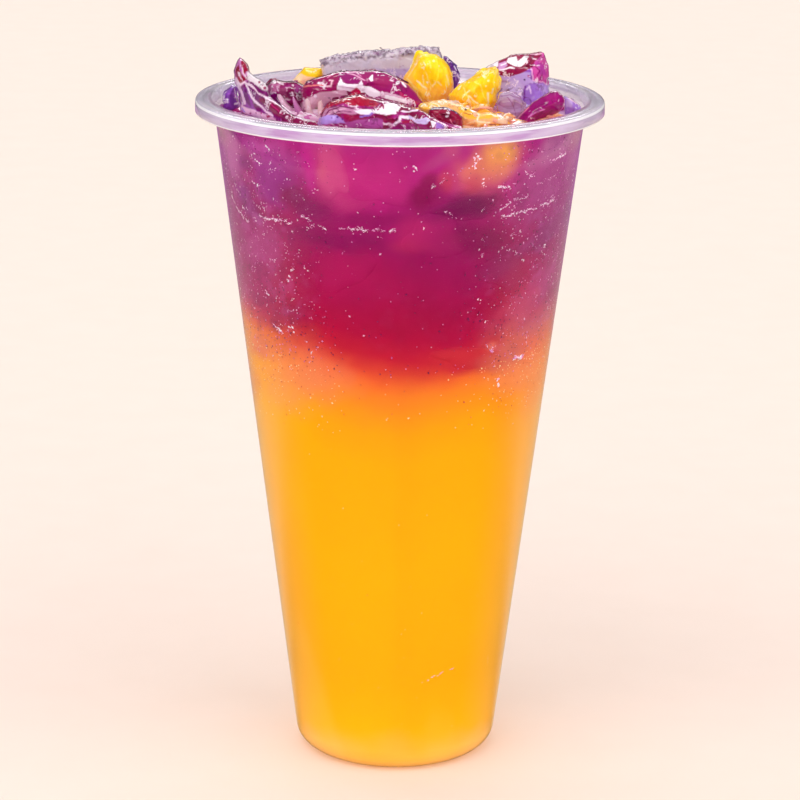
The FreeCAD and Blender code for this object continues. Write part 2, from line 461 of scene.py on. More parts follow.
def mesh_from_faces(name, verts_mm, faces, mat, smooth=True):
    me = bpy.data.meshes.new(name)
    me.from_pydata([tuple(v * MM) for v in np.asarray(verts_mm, float)], [], [tuple(int(i) for i in f) for f in faces])
    me.polygons.foreach_set("use_smooth", np.full(len(me.polygons), smooth, dtype=bool))
    me.update()
    ob = bpy.data.objects.new(name, me)
    bpy.context.scene.collection.objects.link(ob)
    if mat is not None:
        me.materials.append(mat)
    return ob


# ---------------------------------------------------------------------------
# studio: pale floor, soft light
# ---------------------------------------------------------------------------
def area_light(name, loc, target, size, power, color=(1, 1, 1), size_y=None):
    d = bpy.data.lights.new(name, "AREA")
    d.energy = power
    d.color = color
    d.shape = "RECTANGLE" if size_y else "SQUARE"
    d.size = size
    if size_y:
        d.size_y = size_y
    ob = bpy.data.objects.new(name, d)
    bpy.context.scene.collection.objects.link(ob)
    ob.location = loc
    v = np.array(target, float) - np.array(loc, float)
    from mathutils import Vector
    ob.rotation_euler = Vector(v).to_track_quat("-Z", "Y").to_euler()
    ob.visible_camera = False
    return ob


PALE = lin(251, 239, 232)


def sun(name, direction, strength, angle, color=(1, 1, 1)):
    """A soft far light: it lights floor and drink evenly, and isn't mirrored."""
    d = bpy.data.lights.new(name, "SUN")
    d.energy = strength
    d.angle = math.radians(angle)
    d.color = color
    ob = bpy.data.objects.new(name, d)
    bpy.context.scene.collection.objects.link(ob)
    from mathutils import Vector
    ob.rotation_euler = (-Vector(direction)).to_track_quat("-Z", "Y").to_euler()
    ob.visible_glossy = False
    return ob


def gloss_box(name, loc, target, size, size_y, power):
    """A soft box that only shows as a highlight on wet and glossy things."""
    ob = area_light(name, loc, target, size, power, (1, 1, 1), size_y)
    ob.visible_diffuse = False
    ob.visible_transmission = False
    return ob


sun("soft_left", (-0.75, -0.95, 0.85), 1.40, 70, (1.0, 1.0, 0.99))
sun("soft_right", (0.95, -0.75, 0.65), 1.25, 70, (1.0, 1.0, 0.99))
sun("soft_back", (-0.15, 0.80, 1.10), 0.60, 60)
gloss_box("gloss_left", (-0.42, -0.52, 0.62), (0, 0, 0.155), 0.20, 0.20, 0.75)
gloss_box("gloss_right", (0.50, -0.42, 0.50), (0, 0, 0.155), 0.12, 0.24, 0.45)
gloss_box("gloss_back", (0.05, 0.65, 0.50), (0, 0, 0.155), 0.50, 0.10, 0.8)
gloss_box("gloss_top", (0.02, -0.10, 0.85), (0, 0, 0.155), 0.16, 0.12, 0.45)

world = bpy.data.worlds.new("studio")
bpy.context.scene.world = world
world.use_nodes = True
wt = world.node_tree
wt.nodes.clear()


def wnode(kind, **props):
    n = wt.nodes.new(kind)
    for k, v in props.items():
        setattr(n, k, v)
    return n


def wmath(op, a, b=0.5, clamp=False):
    n = wnode("ShaderNodeMath", operation=op, use_clamp=clamp)
    for sock, v in ((n.inputs[0], a), (n.inputs[1], b)):
        if isinstance(v, bpy.types.NodeSocket):
            wt.links.new(v, sock)
        else:
            sock.default_value = v
    return n.outputs[0]


w_out = wnode("ShaderNodeOutputWorld")
w_path = wnode("ShaderNodeLightPath")
w_geo = wnode("ShaderNodeTexCoord")
w_sep = wnode("ShaderNodeSeparateXYZ")
wt.links.new(w_geo.outputs["Generated"], w_sep.inputs[0])
# seen directly or through clear things: the pale backdrop; as light on
# things: softer; as a reflection: pale at eye level, dim higher up, dark below
mirrored = wmath("MULTIPLY", w_path.outputs["Is Glossy Ray"],
                 wmath("SUBTRACT", 1.0, w_path.outputs["Is Transmission Ray"]))
bounced = wmath("GREATER_THAN", w_path.outputs["Diffuse Depth"], 0.5)
level = wnode("ShaderNodeValToRGB")
level.color_ramp.elements[0].position = 0.0
level.color_ramp.elements[0].color = (0.01, 0.01, 0.01, 1)
level.color_ramp.elements[1].position = 1.0
level.color_ramp.elements[1].color = (0.42, 0.42, 0.42, 1)
for pos, v in ((0.285, (0.012, 0.012, 0.012)), (0.305, (0.62, 0.50, 0.36)), (0.345, (0.64, 0.50, 0.34)),
               (0.37, (0.54, 0.40, 0.34)), (0.39, (0.44, 0.22, 0.38)), (0.41, (0.36, 0.14, 0.34)),
               (0.425, (0.12, 0.06, 0.12)), (0.44, (0.07, 0.06, 0.07)), (0.60, (0.10, 0.10, 0.10)),
               (0.80, (0.12, 0.12, 0.12)), (0.93, (0.34, 0.34, 0.34))):
    e = level.color_ramp.elements.new(pos)
    e.color = v + (1,)
wt.links.new(wmath("MULTIPLY_ADD", w_sep.outputs["Z"], 0.5), level.inputs["Fac"])
for n in wt.nodes:
    if n.type == "MATH" and n.operation == "MULTIPLY_ADD":
        n.inputs[2].default_value = 0.5
power = wnode("ShaderNodeMix", data_type="FLOAT")
wt.links.new(bounced, power.inputs[0])
power.inputs[2].default_value = 0.97
power.inputs[3].default_value = 0.62
power2 = wnode("ShaderNodeMix", data_type="FLOAT")
wt.links.new(mirrored, power2.inputs[0])
wt.links.new(power.outputs[0], power2.inputs[2])
power2.inputs[3].default_value = 1.0
w_bg = wnode("ShaderNodeBackground")
tint = wnode("ShaderNodeMix", data_type="RGBA")
wt.links.new(bounced, tint.inputs["Factor"])
tint.inputs[6].default_value = PALE + (1,)
tint.inputs[7].default_value = (1.0, 1.0, 1.0, 1)
tint2 = wnode("ShaderNodeMix", data_type="RGBA")
wt.links.new(mirrored, tint2.inputs["Factor"])
wt.links.new(tint.outputs[2], tint2.inputs[6])
wt.links.new(level.outputs["Color"], tint2.inputs[7])
wt.links.new(tint2.outputs[2], w_bg.inputs["Color"])
wt.links.new(power2.outputs[0], w_bg.inputs["Strength"])
wt.links.new(w_bg.outputs[0], w_out.inputs["Surface"])


def floor_material():
    m = Nodes("floor_pale")
    co = m.coords()
    n = m.noise(60.0, 3.0, 0.5, co)
    col = m.mix(n, lin(246, 228, 218), lin(243, 224, 213))
    p = m.principled(Base_Color=col, Roughness=0.75)
    p.inputs["Specular IOR Level"].default_value = 0.15
    return m.finish(p.outputs[0])


fv = np.array([(-4000, -4000, -0.05), (4000, -4000, -0.05), (4000, 4000, -0.05), (-4000, 4000, -0.05)])
floor = make_object("studio_floor", fv, np.array([[0, 1, 2, 3]]), floor_material(), smooth=False)
floor.visible_glossy = False


# ---------------------------------------------------------------------------
# the drink: one body of liquid, its outside reaching just into the wall
# ---------------------------------------------------------------------------
# where purple gives way to yellow, around the wall: angle from the front
# (degrees, + to the right), height (mm) and how spread out the change is
LAYER_LINE = [
    (-180, 104.0, 1.0), (-150, 100.0, 1.1), (-120, 106.0, 0.9), (-90, 110.0, 0.8),
    (-70, 110.0, 0.8), (-52, 108.5, 0.8), (-40, 105.5, 0.95), (-28, 102.5, 1.15),
    (-12, 100.8, 1.15), (6, 100.0, 1.1), (20, 99.8, 0.95), (34, 102.0, 1.0), (46, 103.2, 1.35),
    (60, 104.0, 1.5), (78, 105.0, 1.4), (100, 104.0, 1.0), (130, 99.0, 1.2), (155, 102.5, 0.9),
]
# colour against height over that line (mm)
LAYER_RAMP = [
    (-98.0, (254, 190, 40)), (-86.0, (254, 186, 6)), (-45.0, (254, 189, 0)), (-20.0, (254, 184, 0)),
    (-12.0, (253, 175, 10)), (-7.5, (252, 160, 28)), (-3.5, (248, 142, 42)), (-0.5, (240, 112, 50)),
    (2.0, (222, 70, 54)), (5.0, (200, 26, 58)), (9.0, (183, 4, 66)), (16.0, (174, 3, 76)),
    (26.0, (164, 8, 92)), (36.0, (168, 16, 108)), (46.0, (182, 30, 128)), (56.0, (196, 56, 150)),
]
# ice, fruit and shade that lie against the wall, with painted sheen and glints
# (pink sheen, pale edge, peach veil, glint patch): name, angle, height, half
# width and half height (mm), lean (degrees), colour, strength, softness
WALL_PATCHES = [
    ("pale shoulder left", -66.3, 149.0, 5.9, 7.1, 8, (200, 112, 178), 0.80, 0.70),
    ("lilac under rim left", -47.1, 151.3, 10.5, 3.3, -8, (200, 96, 172), 0.85, 0.70),
    ("violet lobe left", -43.8, 145.2, 7.1, 6.2, 0, (166, 46, 142), 0.90, 0.60),
    ("dark spot 1", -56.8, 147.2, 3.2, 1.9, 0, (146, 36, 118), 0.85, 0.60),
    ("dark spot 2", -60.7, 139.7, 3.8, 2.4, 0, (140, 40, 125), 0.85, 0.60),
    ("dark lobe 3", -56.3, 136.8, 3.2, 2.1, 20, (142, 40, 118), 0.75, 0.60),
    ("light triangle", -52.6, 134.9, 2.3, 1.4, 0, (196, 100, 170), 0.85, 0.50),
    ("magenta column", -27.9, 149.4, 1.8, 6.2, 0, (200, 38, 148), 0.85, 0.60),
    ("salmon glow", -20.6, 148.5, 4.2, 7.1, 5, (208, 80, 132), 0.85, 0.70),
    ("salmon spot", -23.6, 148.3, 1.3, 1.7, 0, (214, 96, 118), 0.60, 0.80),
    ("maroon wedge", -34.3, 141.5, 5.9, 2.9, -24, (142, 8, 92), 0.95, 0.60),
    ("maroon wedge 2", -26.4, 138.9, 5.6, 3.3, -10, (148, 14, 98), 0.80, 0.70),
    ("magenta broad", -8.3, 147.6, 9.5, 7.1, 0, (198, 34, 128), 0.75, 0.80),
    ("pink sheen mid", -15.4, 141.1, 4.3, 1.9, 10, (206, 62, 132), 0.50, 0.90),
    ("maroon band upper", -8.5, 137.7, 8.1, 1.7, 2, (150, 10, 98), 0.80, 0.70),
    ("maroon band lower", -21.0, 132.7, 15.3, 2.4, -3, (144, 8, 94), 0.85, 0.70),
    ("pink band left", -52.6, 128.5, 9.9, 6.2, 30, (182, 62, 132), 0.60, 0.80),
    ("plum lower left", -51.7, 119.2, 11.1, 6.2, 0, (172, 52, 110), 0.50, 0.90),
    ("crimson mid", -16.2, 124.8, 11.1, 5.2, 0, (186, 12, 92), 0.60, 0.90),
    ("violet top mid", 21.6, 153.7, 2.2, 5.2, 0, (190, 26, 142), 0.85, 0.60),
    ("mauve smear", 11.1, 151.3, 4.3, 1.4, 28, (194, 86, 148), 0.80, 0.70),
    ("rose spot", 14.9, 154.0, 1.9, 1.9, 0, (206, 92, 138), 0.75, 0.60),
    ("magenta top centre", 2.6, 150.0, 8.0, 6.7, 0, (188, 34, 130), 0.60, 0.80),
    ("peach halo", 26.3, 149.2, 6.4, 6.2, 0, (220, 104, 116), 0.80, 0.90),
    ("peach tail", 35.5, 148.7, 2.7, 2.4, 0, (220, 120, 120), 0.70, 0.70),
    ("orange fruit", 30.6, 151.4, 6.0, 3.9, 12, (240, 160, 98), 0.95, 0.95),
    ("orange fruit core", 32.0, 152.8, 4.2, 2.2, 0, (248, 180, 96), 0.85, 0.8),
    ("salmon left of fruit", 14.4, 146.7, 1.9, 2.6, 0, (204, 66, 100), 0.80, 0.60),
    ("salmon low", 23.7, 145.4, 2.0, 2.6, 0, (206, 76, 104), 0.75, 0.60),
    ("maroon small", 9.4, 147.2, 2.1, 1.4, 20, (150, 20, 88), 0.70, 0.60),
    ("maroon diag", 7.7, 143.6, 5.2, 2.9, 25, (142, 2, 84), 0.90, 0.60),
    ("maroon broad", 21.4, 140.9, 8.9, 3.1, 8, (126, 10, 86), 0.95, 0.65),
    ("maroon low", 25.1, 132.8, 7.6, 4.3, 0, (136, 12, 84), 0.80, 0.75),
    ("magenta patch", 4.8, 135.8, 3.8, 2.9, 0, (188, 36, 110), 0.70, 0.70),
    ("rose patch", 3.7, 132.1, 3.8, 1.7, 0, (200, 44, 104), 0.50, 0.80),
    ("lilac field right", 53.1, 144.7, 11.3, 8.1, 20, (176, 66, 140), 0.80, 0.80),
    ("lilac top right", 57.2, 151.7, 10.7, 3.3, 14, (202, 128, 172), 0.90, 0.60),
    ("plum right", 60.6, 132.6, 9.1, 3.3, 20, (150, 42, 116), 0.75, 0.70),
    ("pale edge right", 84.5, 134.3, 5.3, 7.1, 0, (196, 120, 172), 0.70, 0.80),
    ("plum lower right", 39.2, 127.4, 10.1, 3.3, 20, (146, 20, 96), 0.70, 0.80),
    ("pink lower right", 56.5, 118.4, 9.1, 4.3, 30, (196, 70, 124), 0.70, 0.80),
    ("rose right", 44.0, 114.1, 7.7, 4.3, 20, (196, 60, 106), 0.60, 0.80),
    ("mauve right", 55.7, 109.6, 5.6, 2.9, 0, (172, 62, 118), 0.55, 0.70),
    ("greyed rose", 43.4, 103.9, 4.7, 3.8, 0, (202, 92, 98), 0.70, 0.70),
    ("pale glint patch", 35.6, 106.6, 1.4, 1.2, 0, (236, 130, 110), 0.70, 0.60),
    ("red tongue", 23.8, 104.4, 9.5, 2.9, -8, (206, 44, 60), 0.90, 0.50),
    ("red tongue 2", 35.0, 102.5, 4.9, 2.4, -10, (206, 84, 78), 0.80, 0.50),
    ("dark edge left", -47.0, 112.0, 8.0, 2.6, 14, (158, 34, 92), 0.55, 0.90),
    ("salmon left", -61.1, 103.5, 9.9, 3.3, 8, (232, 122, 100), 0.75, 0.70),
    ("salmon left 2", -37.8, 106.5, 7.2, 4.3, 0, (224, 96, 80), 0.50, 0.80),
    ("orange left", -80.5, 93.2, 8.5, 6.2, 8, (240, 132, 92), 0.60, 0.80),
    ("peach veil right", 57.0, 106.5, 13.0, 7.0, 0, (234, 138, 116), 0.45, 0.90),
    ("apricot right", 66.7, 93.5, 7.7, 6.2, -8, (246, 150, 92), 0.50, 0.80),
    ("peach band left", -38.0, 99.0, 12.0, 5.0, 6, (242, 146, 108), 0.62, 0.90),
    ("peach band left 2", -50.0, 93.0, 9.0, 4.0, 0, (250, 166, 104), 0.45, 0.90),
    ("peach band right", 50.0, 98.0, 10.0, 4.0, -4, (246, 152, 100), 0.50, 0.90),
]


def far_side_patches():
    """The same kinds of ice, fruit and shade for the sides and back."""
    rng = np.random.RandomState(4)
    kinds = [
        ("lilac", (184, 74, 150), 6.5, 4.5, 0.75, 0.75, 0.26),
        ("pale lilac", (202, 118, 176), 5.0, 3.0, 0.75, 0.65, 0.14),
        ("maroon", (136, 8, 88), 8.0, 2.8, 0.9, 0.65, 0.26),
        ("magenta", (196, 36, 130), 7.5, 5.0, 0.7, 0.8, 0.16),
        ("salmon", (210, 84, 118), 3.6, 3.2, 0.75, 0.7, 0.12),
        ("orange fruit", (244, 166, 96), 3.4, 2.8, 0.95, 0.5, 0.06),
    ]
    share = np.cumsum([k[-1] for k in kinds])
    out = []
    n = 0
    while n < 74:
        ang = rng.uniform(78, 282)
        z = rng.uniform(112, 154)
        k = kinds[int(np.searchsorted(share, rng.uniform(0, share[-1])))]
        if k[0] == "orange fruit" and z < 136:
            continue
        s = rng.uniform(0.7, 1.3)
        out.append((k[0], ang, z, k[2] * s, k[3] * s * rng.uniform(0.8, 1.2),
                    rng.uniform(-30, 30), k[1], k[4], k[5]))
        n += 1
    return out


PATCHES = WALL_PATCHES + far_side_patches()


def drink_colour(p):
    """Linear colour of the drink at points p (mm) on or near the wall."""
    ang = np.degrees(np.arctan2(p[:, 0], -p[:, 1]))
    r = np.hypot(p[:, 0], p[:, 1])
    z = p[:, 2]
    keys = np.array(LAYER_LINE, float)
    zb = np.interp(ang, keys[:, 0], keys[:, 1], period=360)
    sp = np.interp(ang, keys[:, 0], keys[:, 2], period=360)
    wob = 1.6 * fbm(p, 15.0, 5, 3) + 0.5 * fbm(p, 4.0, 6, 2)
    d = (z - zb + wob) / np.where(z < zb + 9, sp, 1.0 + (sp - 1.0) * np.exp(-(z - zb - 9) / 10.0))
    ramp_d = np.array([k[0] for k in LAYER_RAMP])
    ramp_c = np.array([lin(*k[1]) for k in LAYER_RAMP])
    col = np.stack([np.interp(d, ramp_d, ramp_c[:, j]) for j in range(3)], 1)
    warp = np.stack([fbm(p, 7.0, 11, 3), fbm(p, 7.0, 12, 3)], 1) * 0.42
    fine = fbm(p, 2.4, 14, 2) * 0.16
    for name, a0, z0, w, h, lean, c, strength, soft in PATCHES:
        da = (ang - a0 + 180.0) % 360.0 - 180.0
        du = np.radians(da) * np.maximum(r, 20.0)
        dz = z - z0
        near = (np.abs(du) < 3.0 * max(w, h)) & (np.abs(dz) < 3.0 * max(w, h))
        if not near.any():
            continue
        t = math.radians(lean)
        u = du[near] * math.cos(t) + dz[near] * math.sin(t)
        v = -du[near] * math.sin(t) + dz[near] * math.cos(t)
        q = np.hypot(u / w + warp[near, 0], v / h + warp[near, 1]) + fine[near]
        wgt = strength * (1 - smoothstep(1.0 - soft, 1.0 + soft * 0.75, q))
        col[near] += (np.array(lin(*c)) - col[near]) * wgt[:, None]
    top = smoothstep(1.2, 3.0, wall_in(LEVEL_Z) - r) * (z > LEVEL_Z - 1.5)
    if top.any():
        # slushy top between the pieces: pale pink, lilac, magenta; peach at the front right
        s1 = fbm(p, 4.5, 31, 3)
        s2 = fbm(p, 2.0, 32, 2)
        tc = colour_by(s1 + 0.3 * s2, [(-9, (176, 40, 130)), (-0.28, (206, 110, 170)), (-0.05, (232, 186, 214)),
                                       (0.16, (246, 222, 236)), (0.36, (206, 160, 214))], 0.06)
        peach = smoothstep(17.0, 11.0, np.hypot(p[:, 0] - 17.0, (p[:, 1] + 16.0) * 0.8) + 3.0 * s1)
        pc = colour_by(s2, [(-9, (232, 140, 90)), (0.0, (244, 180, 120)), (0.3, (250, 214, 180))], 0.1)
        tc = tc * (1 - peach[:, None]) + pc * peach[:, None]
        col = col * (1 - top[:, None]) + tc * top[:, None]
    # painted light: low down by the foot the drink is painted paler peach, more so towards the sides, lifting the shade
    # there; in the yellow it is also painted paler towards the sides, a painted veil of sheen at the edges
    foot = smoothstep(12.0, 2.0, z + 3.0 * fbm(p, 9.0, 35, 2))
    painted_side_veil = smoothstep(34.0, 78.0, np.abs(ang)) * smoothstep(96.0, 84.0, z) * smoothstep(150.0, 100.0, np.abs(ang))
    edge = smoothstep(14.0, 66.0, np.abs(ang)) * smoothstep(150.0, 100.0, np.abs(ang))
    pale = np.maximum((0.26 + 0.34 * edge) * foot, 0.28 * painted_side_veil)
    col = col * (1 - pale[:, None]) + np.array(lin(252, 202, 140)) * pale[:, None]
    # painted sheen: a violet veil towards the sides in the purple
    side = 0.50 * smoothstep(38.0, 78.0, np.abs(ang)) * smoothstep(150.0, 104.0, np.abs(ang)) * smoothstep(104.0, 116.0, z)
    col = col * (1 - side[:, None]) + np.array(lin(164, 22, 168)) * side[:, None]
    # slush: small paler and darker flecks in the purple
    icy = smoothstep(98, 114, z) * (0.10 + 0.90 * smoothstep(18.0, 46.0, np.abs(ang)))
    fleck = fbm(p, 2.0, 23, 3)
    lit = 0.20 * smoothstep(0.10, 0.46, fleck) * icy * smoothstep(-0.35, 0.25, fbm(p, 11.0, 24, 2))
    shade = 0.30 * smoothstep(0.10, 0.46, -fleck) * icy * smoothstep(-0.35, 0.25, fbm(p, 12.0, 25, 2))
    col = col * (1 - lit[:, None]) + np.array(lin(208, 108, 190)) * lit[:, None]
    col = col * (1 - shade[:, None]) + np.array(lin(112, 6, 88)) * shade[:, None]
    mott = 1.0 + 0.10 * fbm(p, 5.0, 21, 3) * smoothstep(95, 112, z) + 0.015 * fbm(p, 9.0, 22, 2)
    return np.clip(col * mott[:, None], 0.0, 1.0)


WALL_BITE = 0.22         # how far the drink reaches into the wall (mm)


def drink_profile():
    r0 = wall_in(0.0) + WALL_BITE
    pts = [(0.0, FLOOR_Z - 0.2)]
    arc = corner_arc(r0, FLOOR_Z - 0.2, INNER_ROUND, 9)
    pts += dense([(0.0, FLOOR_Z - 0.2), arc[0]], 2.2)[1:]
    pts += arc[1:]
    z1 = arc[-1][1]
    top = LEVEL_Z + 0.9
    n = 200
    for k in range(1, n + 1):
        # closer together in the purple part
        t = k / n
        z = z1 + (top - z1) * (1.25 * t - 0.25 * t * t)
        pts.append((r0 + WALL_SLOPE * z, z))
    rt = r0 + WALL_SLOPE * top
    for k in range(1, 7):
        # the edge where the liquid climbs the wall
        a = k / 6.0
        pts.append((rt - 0.25 - 1.5 * a, top - 0.9 * (1 - (1 - a) ** 2.2)))
    pts += dense([pts[-1], (4.0, LEVEL_Z)], 0.55)[1:]
    pts.append((0.0, LEVEL_Z))
    return pts


def drink_material():
    m = Nodes("drink")
    a = m.attr("tint")
    co = m.coords()
    cloud = m.noise(420.0, 4.0, 0.6, co)
    speck = m.noise(2600.0, 2.0, 0.5, co)
    col = m.mix(m.math("MULTIPLY", cloud, 0.10), a.outputs["Color"], (1.0, 0.62, 0.55), "SOFT_LIGHT")
    h = m.math("ADD", m.math("MULTIPLY", cloud, 0.7), m.math("MULTIPLY", speck, 0.3))
    n = m.bump(h, 0.10, 0.0006)
    p = m.principled(Base_Color=col, Roughness=0.32, Normal=n)
    # painted glow: emission in the drink's own colour stands in for light that comes through the drink, most of all low
    # down
    m.link(m.attr("glow").outputs["Color"], p.inputs["Emission Color"])
    p.inputs["Emission Strength"].default_value = 1.0
    p.inputs["IOR"].default_value = 1.34
    p.inputs["Specular IOR Level"].default_value = 0.25
    return m.finish(p.outputs[0])


SEG = 300
dv, dq, dt = revolve(drink_profile(), SEG)
# a slightly uneven top where ice and fruit push the liquid about
topside = (dv[:, 2] > LEVEL_Z - 0.01) & (np.hypot(dv[:, 0], dv[:, 1]) < wall_in(LEVEL_Z) - 1.0)
dv[topside, 2] += 0.55 * fbm(dv[topside], 4.0, 41, 3) + 0.35 * fbm(dv[topside], 1.8, 42, 2)
drink = mesh_from_faces("drink", dv, list(dq) + list(dt), None)
drink.data.materials.append(drink_material())
GAIN = 1.0
dc = drink_colour(dv) * GAIN
attribute(drink, "tint", dc)


# painted glow: emission colour, faint all over the drink and strongest near the foot; the sunk ice takes it too
def painted_drink_glow(p, col):
    z = p[:, 2]
    g = 0.03 + 0.14 * smoothstep(26.0, 4.0, z) + 0.24 * smoothstep(7.0, 1.5, z)
    return col * g[:, None]


attribute(drink, "glow", painted_drink_glow(dv, dc))
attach(drink, "root")
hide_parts("drink_upper", "drink_lower")


# ---------------------------------------------------------------------------
# the cup: a thin moulded wall with foot ring, lid seat and hanging rim
# ---------------------------------------------------------------------------
def cup_profile():
    H = CUP_H
    skirt_in = RIM_R - SKIRT_T
    outer = [(0.0, RECESS_Z), (RECESS_R - 0.9, RECESS_Z), (RECESS_R, 0.0)]
    arc = corner_arc(WALL_R0, 0.0, FOOT_ROUND, 12)
    outer += arc
    outer += [
        (wall_out(H - 4.6), H - 4.6), (SEAT_R + 0.45, H - 3.2), (SEAT_R + 0.65, H - 2.7),
        (SEAT_R + 0.65, H - 1.35), (SEAT_R + 0.95, H - 1.05), (skirt_in - 0.35, H - 1.1),
        (skirt_in, H - 1.4), (skirt_in, H - SKIRT_DROP + 0.12), (skirt_in + 0.12, H - SKIRT_DROP),
        (RIM_R - 0.14, H - SKIRT_DROP), (RIM_R, H - SKIRT_DROP + 0.15), (RIM_R, H - 0.95),
        (RIM_R - 0.09, H - 0.66), (RIM_R - 0.25, H - 0.43), (RIM_R - 0.5, H - 0.26),
        (RIM_R - 0.8, H - 0.16), (GROOVE_R + 0.34, H - 0.09), (GROOVE_R + 0.14, H - 0.14),
        (GROOVE_R, H - 0.26), (GROOVE_R - 0.14, H - 0.12), (GROOVE_R - 0.34, H - 0.03),
        (SEAT_R + 0.45, H), (SEAT_R + 0.2, H - 0.03), (SEAT_R, H - 0.2), (SEAT_R - 0.12, H - 0.6),
        (SEAT_R - 0.25, H - 1.3), (SEAT_R - 0.5, H - 1.9), (wall_in(H - SEAT_DEPTH), H - SEAT_DEPTH),
    ]
    inner = corner_arc(wall_in(0.0), FLOOR_Z, INNER_ROUND, 12)[::-1]
    prof = outer + inner + [(0.0, FLOOR_Z)]
    return prof


def cup_material():
    m = Nodes("clear_cup")
    co = m.coords()
    sep = m.new("ShaderNodeSeparateXYZ")
    m.link(co, sep.inputs[0])
    # a little more milky in the thick rim and foot than in the wall
    top = CUP_H * MM
    rim = m.ramp(m.math("MULTIPLY_ADD", sep.outputs["Z"], 1.0 / 0.16, 0.0),
                 [(0.0, (0.30,) * 3), (0.02, (0.0,) * 3), (0.968, (0.0,) * 3), (0.978, (1.0,) * 3)])
    streak = m.noise(260.0, 3.0, 0.55, co)
    # the hanging skirt is painted in the colour of what is in the cup; its lower
    # edge and the bead over it are painted highlights: near-white, milky bands
    skirt = m.ramp(m.math("MULTIPLY_ADD", sep.outputs["Z"], 1000.0 / 4.0, -(CUP_H - 4.0) / 4.0),
                   [(0.0, (0.0,) * 3), (0.16, (0.0,) * 3), (0.19, (1.0,) * 3), (0.70, (1.0,) * 3),
                    (0.80, (0.0,) * 3), (1.0, (0.0,) * 3)])
    line = m.ramp(m.math("MULTIPLY_ADD", sep.outputs["Z"], 1000.0 / 4.0, -(CUP_H - 4.0) / 4.0),
                  [(0.0, (0.0,) * 3), (0.14, (0.0,) * 3), (0.16, (1.0,) * 3), (0.245, (1.0,) * 3),
                   (0.28, (0.0,) * 3), (0.73, (0.0,) * 3), (0.77, (0.9,) * 3), (0.87, (0.9,) * 3),
                   (0.92, (0.0,) * 3), (1.0, (0.0,) * 3)])
    away = m.ramp(m.math("MULTIPLY", m.math("ABSOLUTE", sep.outputs["X"]), 1.0 / 0.0475),
                  [(0.0, (0.0,) * 3), (0.55, (0.12,) * 3), (0.93, (1.0,) * 3)])
    lilac = m.mix(away, lin(206, 152, 212), lin(204, 198, 214))
    far = m.math("SQRT", m.math("ADD", m.math("MULTIPLY", sep.outputs["X"], sep.outputs["X"]),
                                m.math("MULTIPLY", sep.outputs["Y"], sep.outputs["Y"])))
    outer = m.math("GREATER_THAN", far, 0.0461)
    skirt = m.math("MULTIPLY", skirt, outer)
    line = m.math("MULTIPLY", line, outer)
    cloud = m.noise(120.0, 3.0, 0.55, co)
    # bands of paler lilac along it
    mp = m.new("ShaderNodeMapping")
    m.link(co, mp.inputs["Vector"])
    mp.inputs["Scale"].default_value = (0.12, 0.12, 1.0)
    band = m.ramp(m.noise(900.0, 2.0, 0.5, mp.outputs[0]), [(0.40, (0.0,) * 3), (0.58, (1.0,) * 3)])
    lilac = m.mix(m.math("MULTIPLY", cloud, 0.6), lilac, lin(226, 206, 232))
    lilac = m.mix(m.math("MULTIPLY", band, 0.75), lilac, lin(238, 226, 246))
    col = m.mix(rim, (0.985, 0.985, 0.99), lin(232, 228, 240))
    col = m.mix(skirt, col, lilac)
    col = m.mix(line, col, (0.95, 0.93, 0.96))
    milky = m.math("MULTIPLY", rim, m.math("MULTIPLY_ADD", streak, 0.26, 0.20))
    milky = m.math("MAXIMUM", milky, m.math("MULTIPLY", skirt, 0.46))
    milky = m.math("MAXIMUM", milky, m.math("MULTIPLY", line, 0.92))
    n = m.bump(m.noise(900.0, 2.0, 0.5, co), 0.05, 0.0002)
    p = m.principled(Base_Color=col, Normal=n)
    m.link(m.math("SUBTRACT", 1.0, milky), p.inputs["Transmission Weight"])
    p.inputs["Roughness"].default_value = 0.07
    p.inputs["IOR"].default_value = 1.47
    p.inputs["Sheen Weight"].default_value = 0.06
    p.inputs["Sheen Roughness"].default_value = 0.3
    p.inputs["Sheen Tint"].default_value = (1.0, 0.96, 0.94, 1.0)
    return m.finish(p.outputs[0], lets_light_in=True)


cp = cup_profile()
cv, cq, ct = revolve(dense(cp, 6.0), 256)
cup = mesh_from_faces("cup_wall_and_rim", cv, list(cq) + list(ct), cup_material())
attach(cup, "root")
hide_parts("cup")


# ---------------------------------------------------------------------------
# ice and fruit: shapes as distance fields, turned into meshes
# ---------------------------------------------------------------------------
def d_box(q, half, round_=0.0):
    a = np.abs(q) - (np.array(half) - round_)
    return np.linalg.norm(np.maximum(a, 0), axis=1) + np.minimum(a.max(1), 0) - round_


def d_plane(q, direction, distance):
    d = np.array(direction, float)
    d /= np.linalg.norm(d)
    return q @ d - distance


def rand_unit(ix, iy, iz, seed):
    v = np.stack([_hash(ix, iy, iz, seed + s) for s in (1, 2, 3)], 1)
    return v / np.maximum(np.linalg.norm(v, axis=1), 1e-6)[:, None]


def facets(p, size, seed, sharp=0.25):
    """Broken-ice relief: the surface steps between small tilted planes."""
    q = p / size
    i0 = np.floor(q).astype(np.int64)
    best = np.full(len(p), 1e9)
    out = np.zeros(len(p))
    for dx in (-1, 0, 1):
        for dy in (-1, 0, 1):
            for dz in (-1, 0, 1):
                c = i0 + np.array([dx, dy, dz])
                jit = np.stack([_hash(c[:, 0], c[:, 1], c[:, 2], seed + s) for s in (7, 8, 9)], 1) * 0.38 + 0.5
                w = q - (c + jit)
                d = (w * w).sum(1)
                nrm = rand_unit(c[:, 0], c[:, 1], c[:, 2], seed + 50)
                h = (w * nrm).sum(1)
                m = d < best
                best[m] = d[m]
                out[m] = h[m]
    return out


def vertex_normals(v, q):
    n = np.cross(v[q[:, 2]] - v[q[:, 0]], v[q[:, 3]] - v[q[:, 1]])
    out = np.zeros_like(v)
    for k in range(4):
        np.add.at(out, q[:, k], n)
    return out / np.maximum(np.linalg.norm(out, axis=1), 1e-9)[:, None]


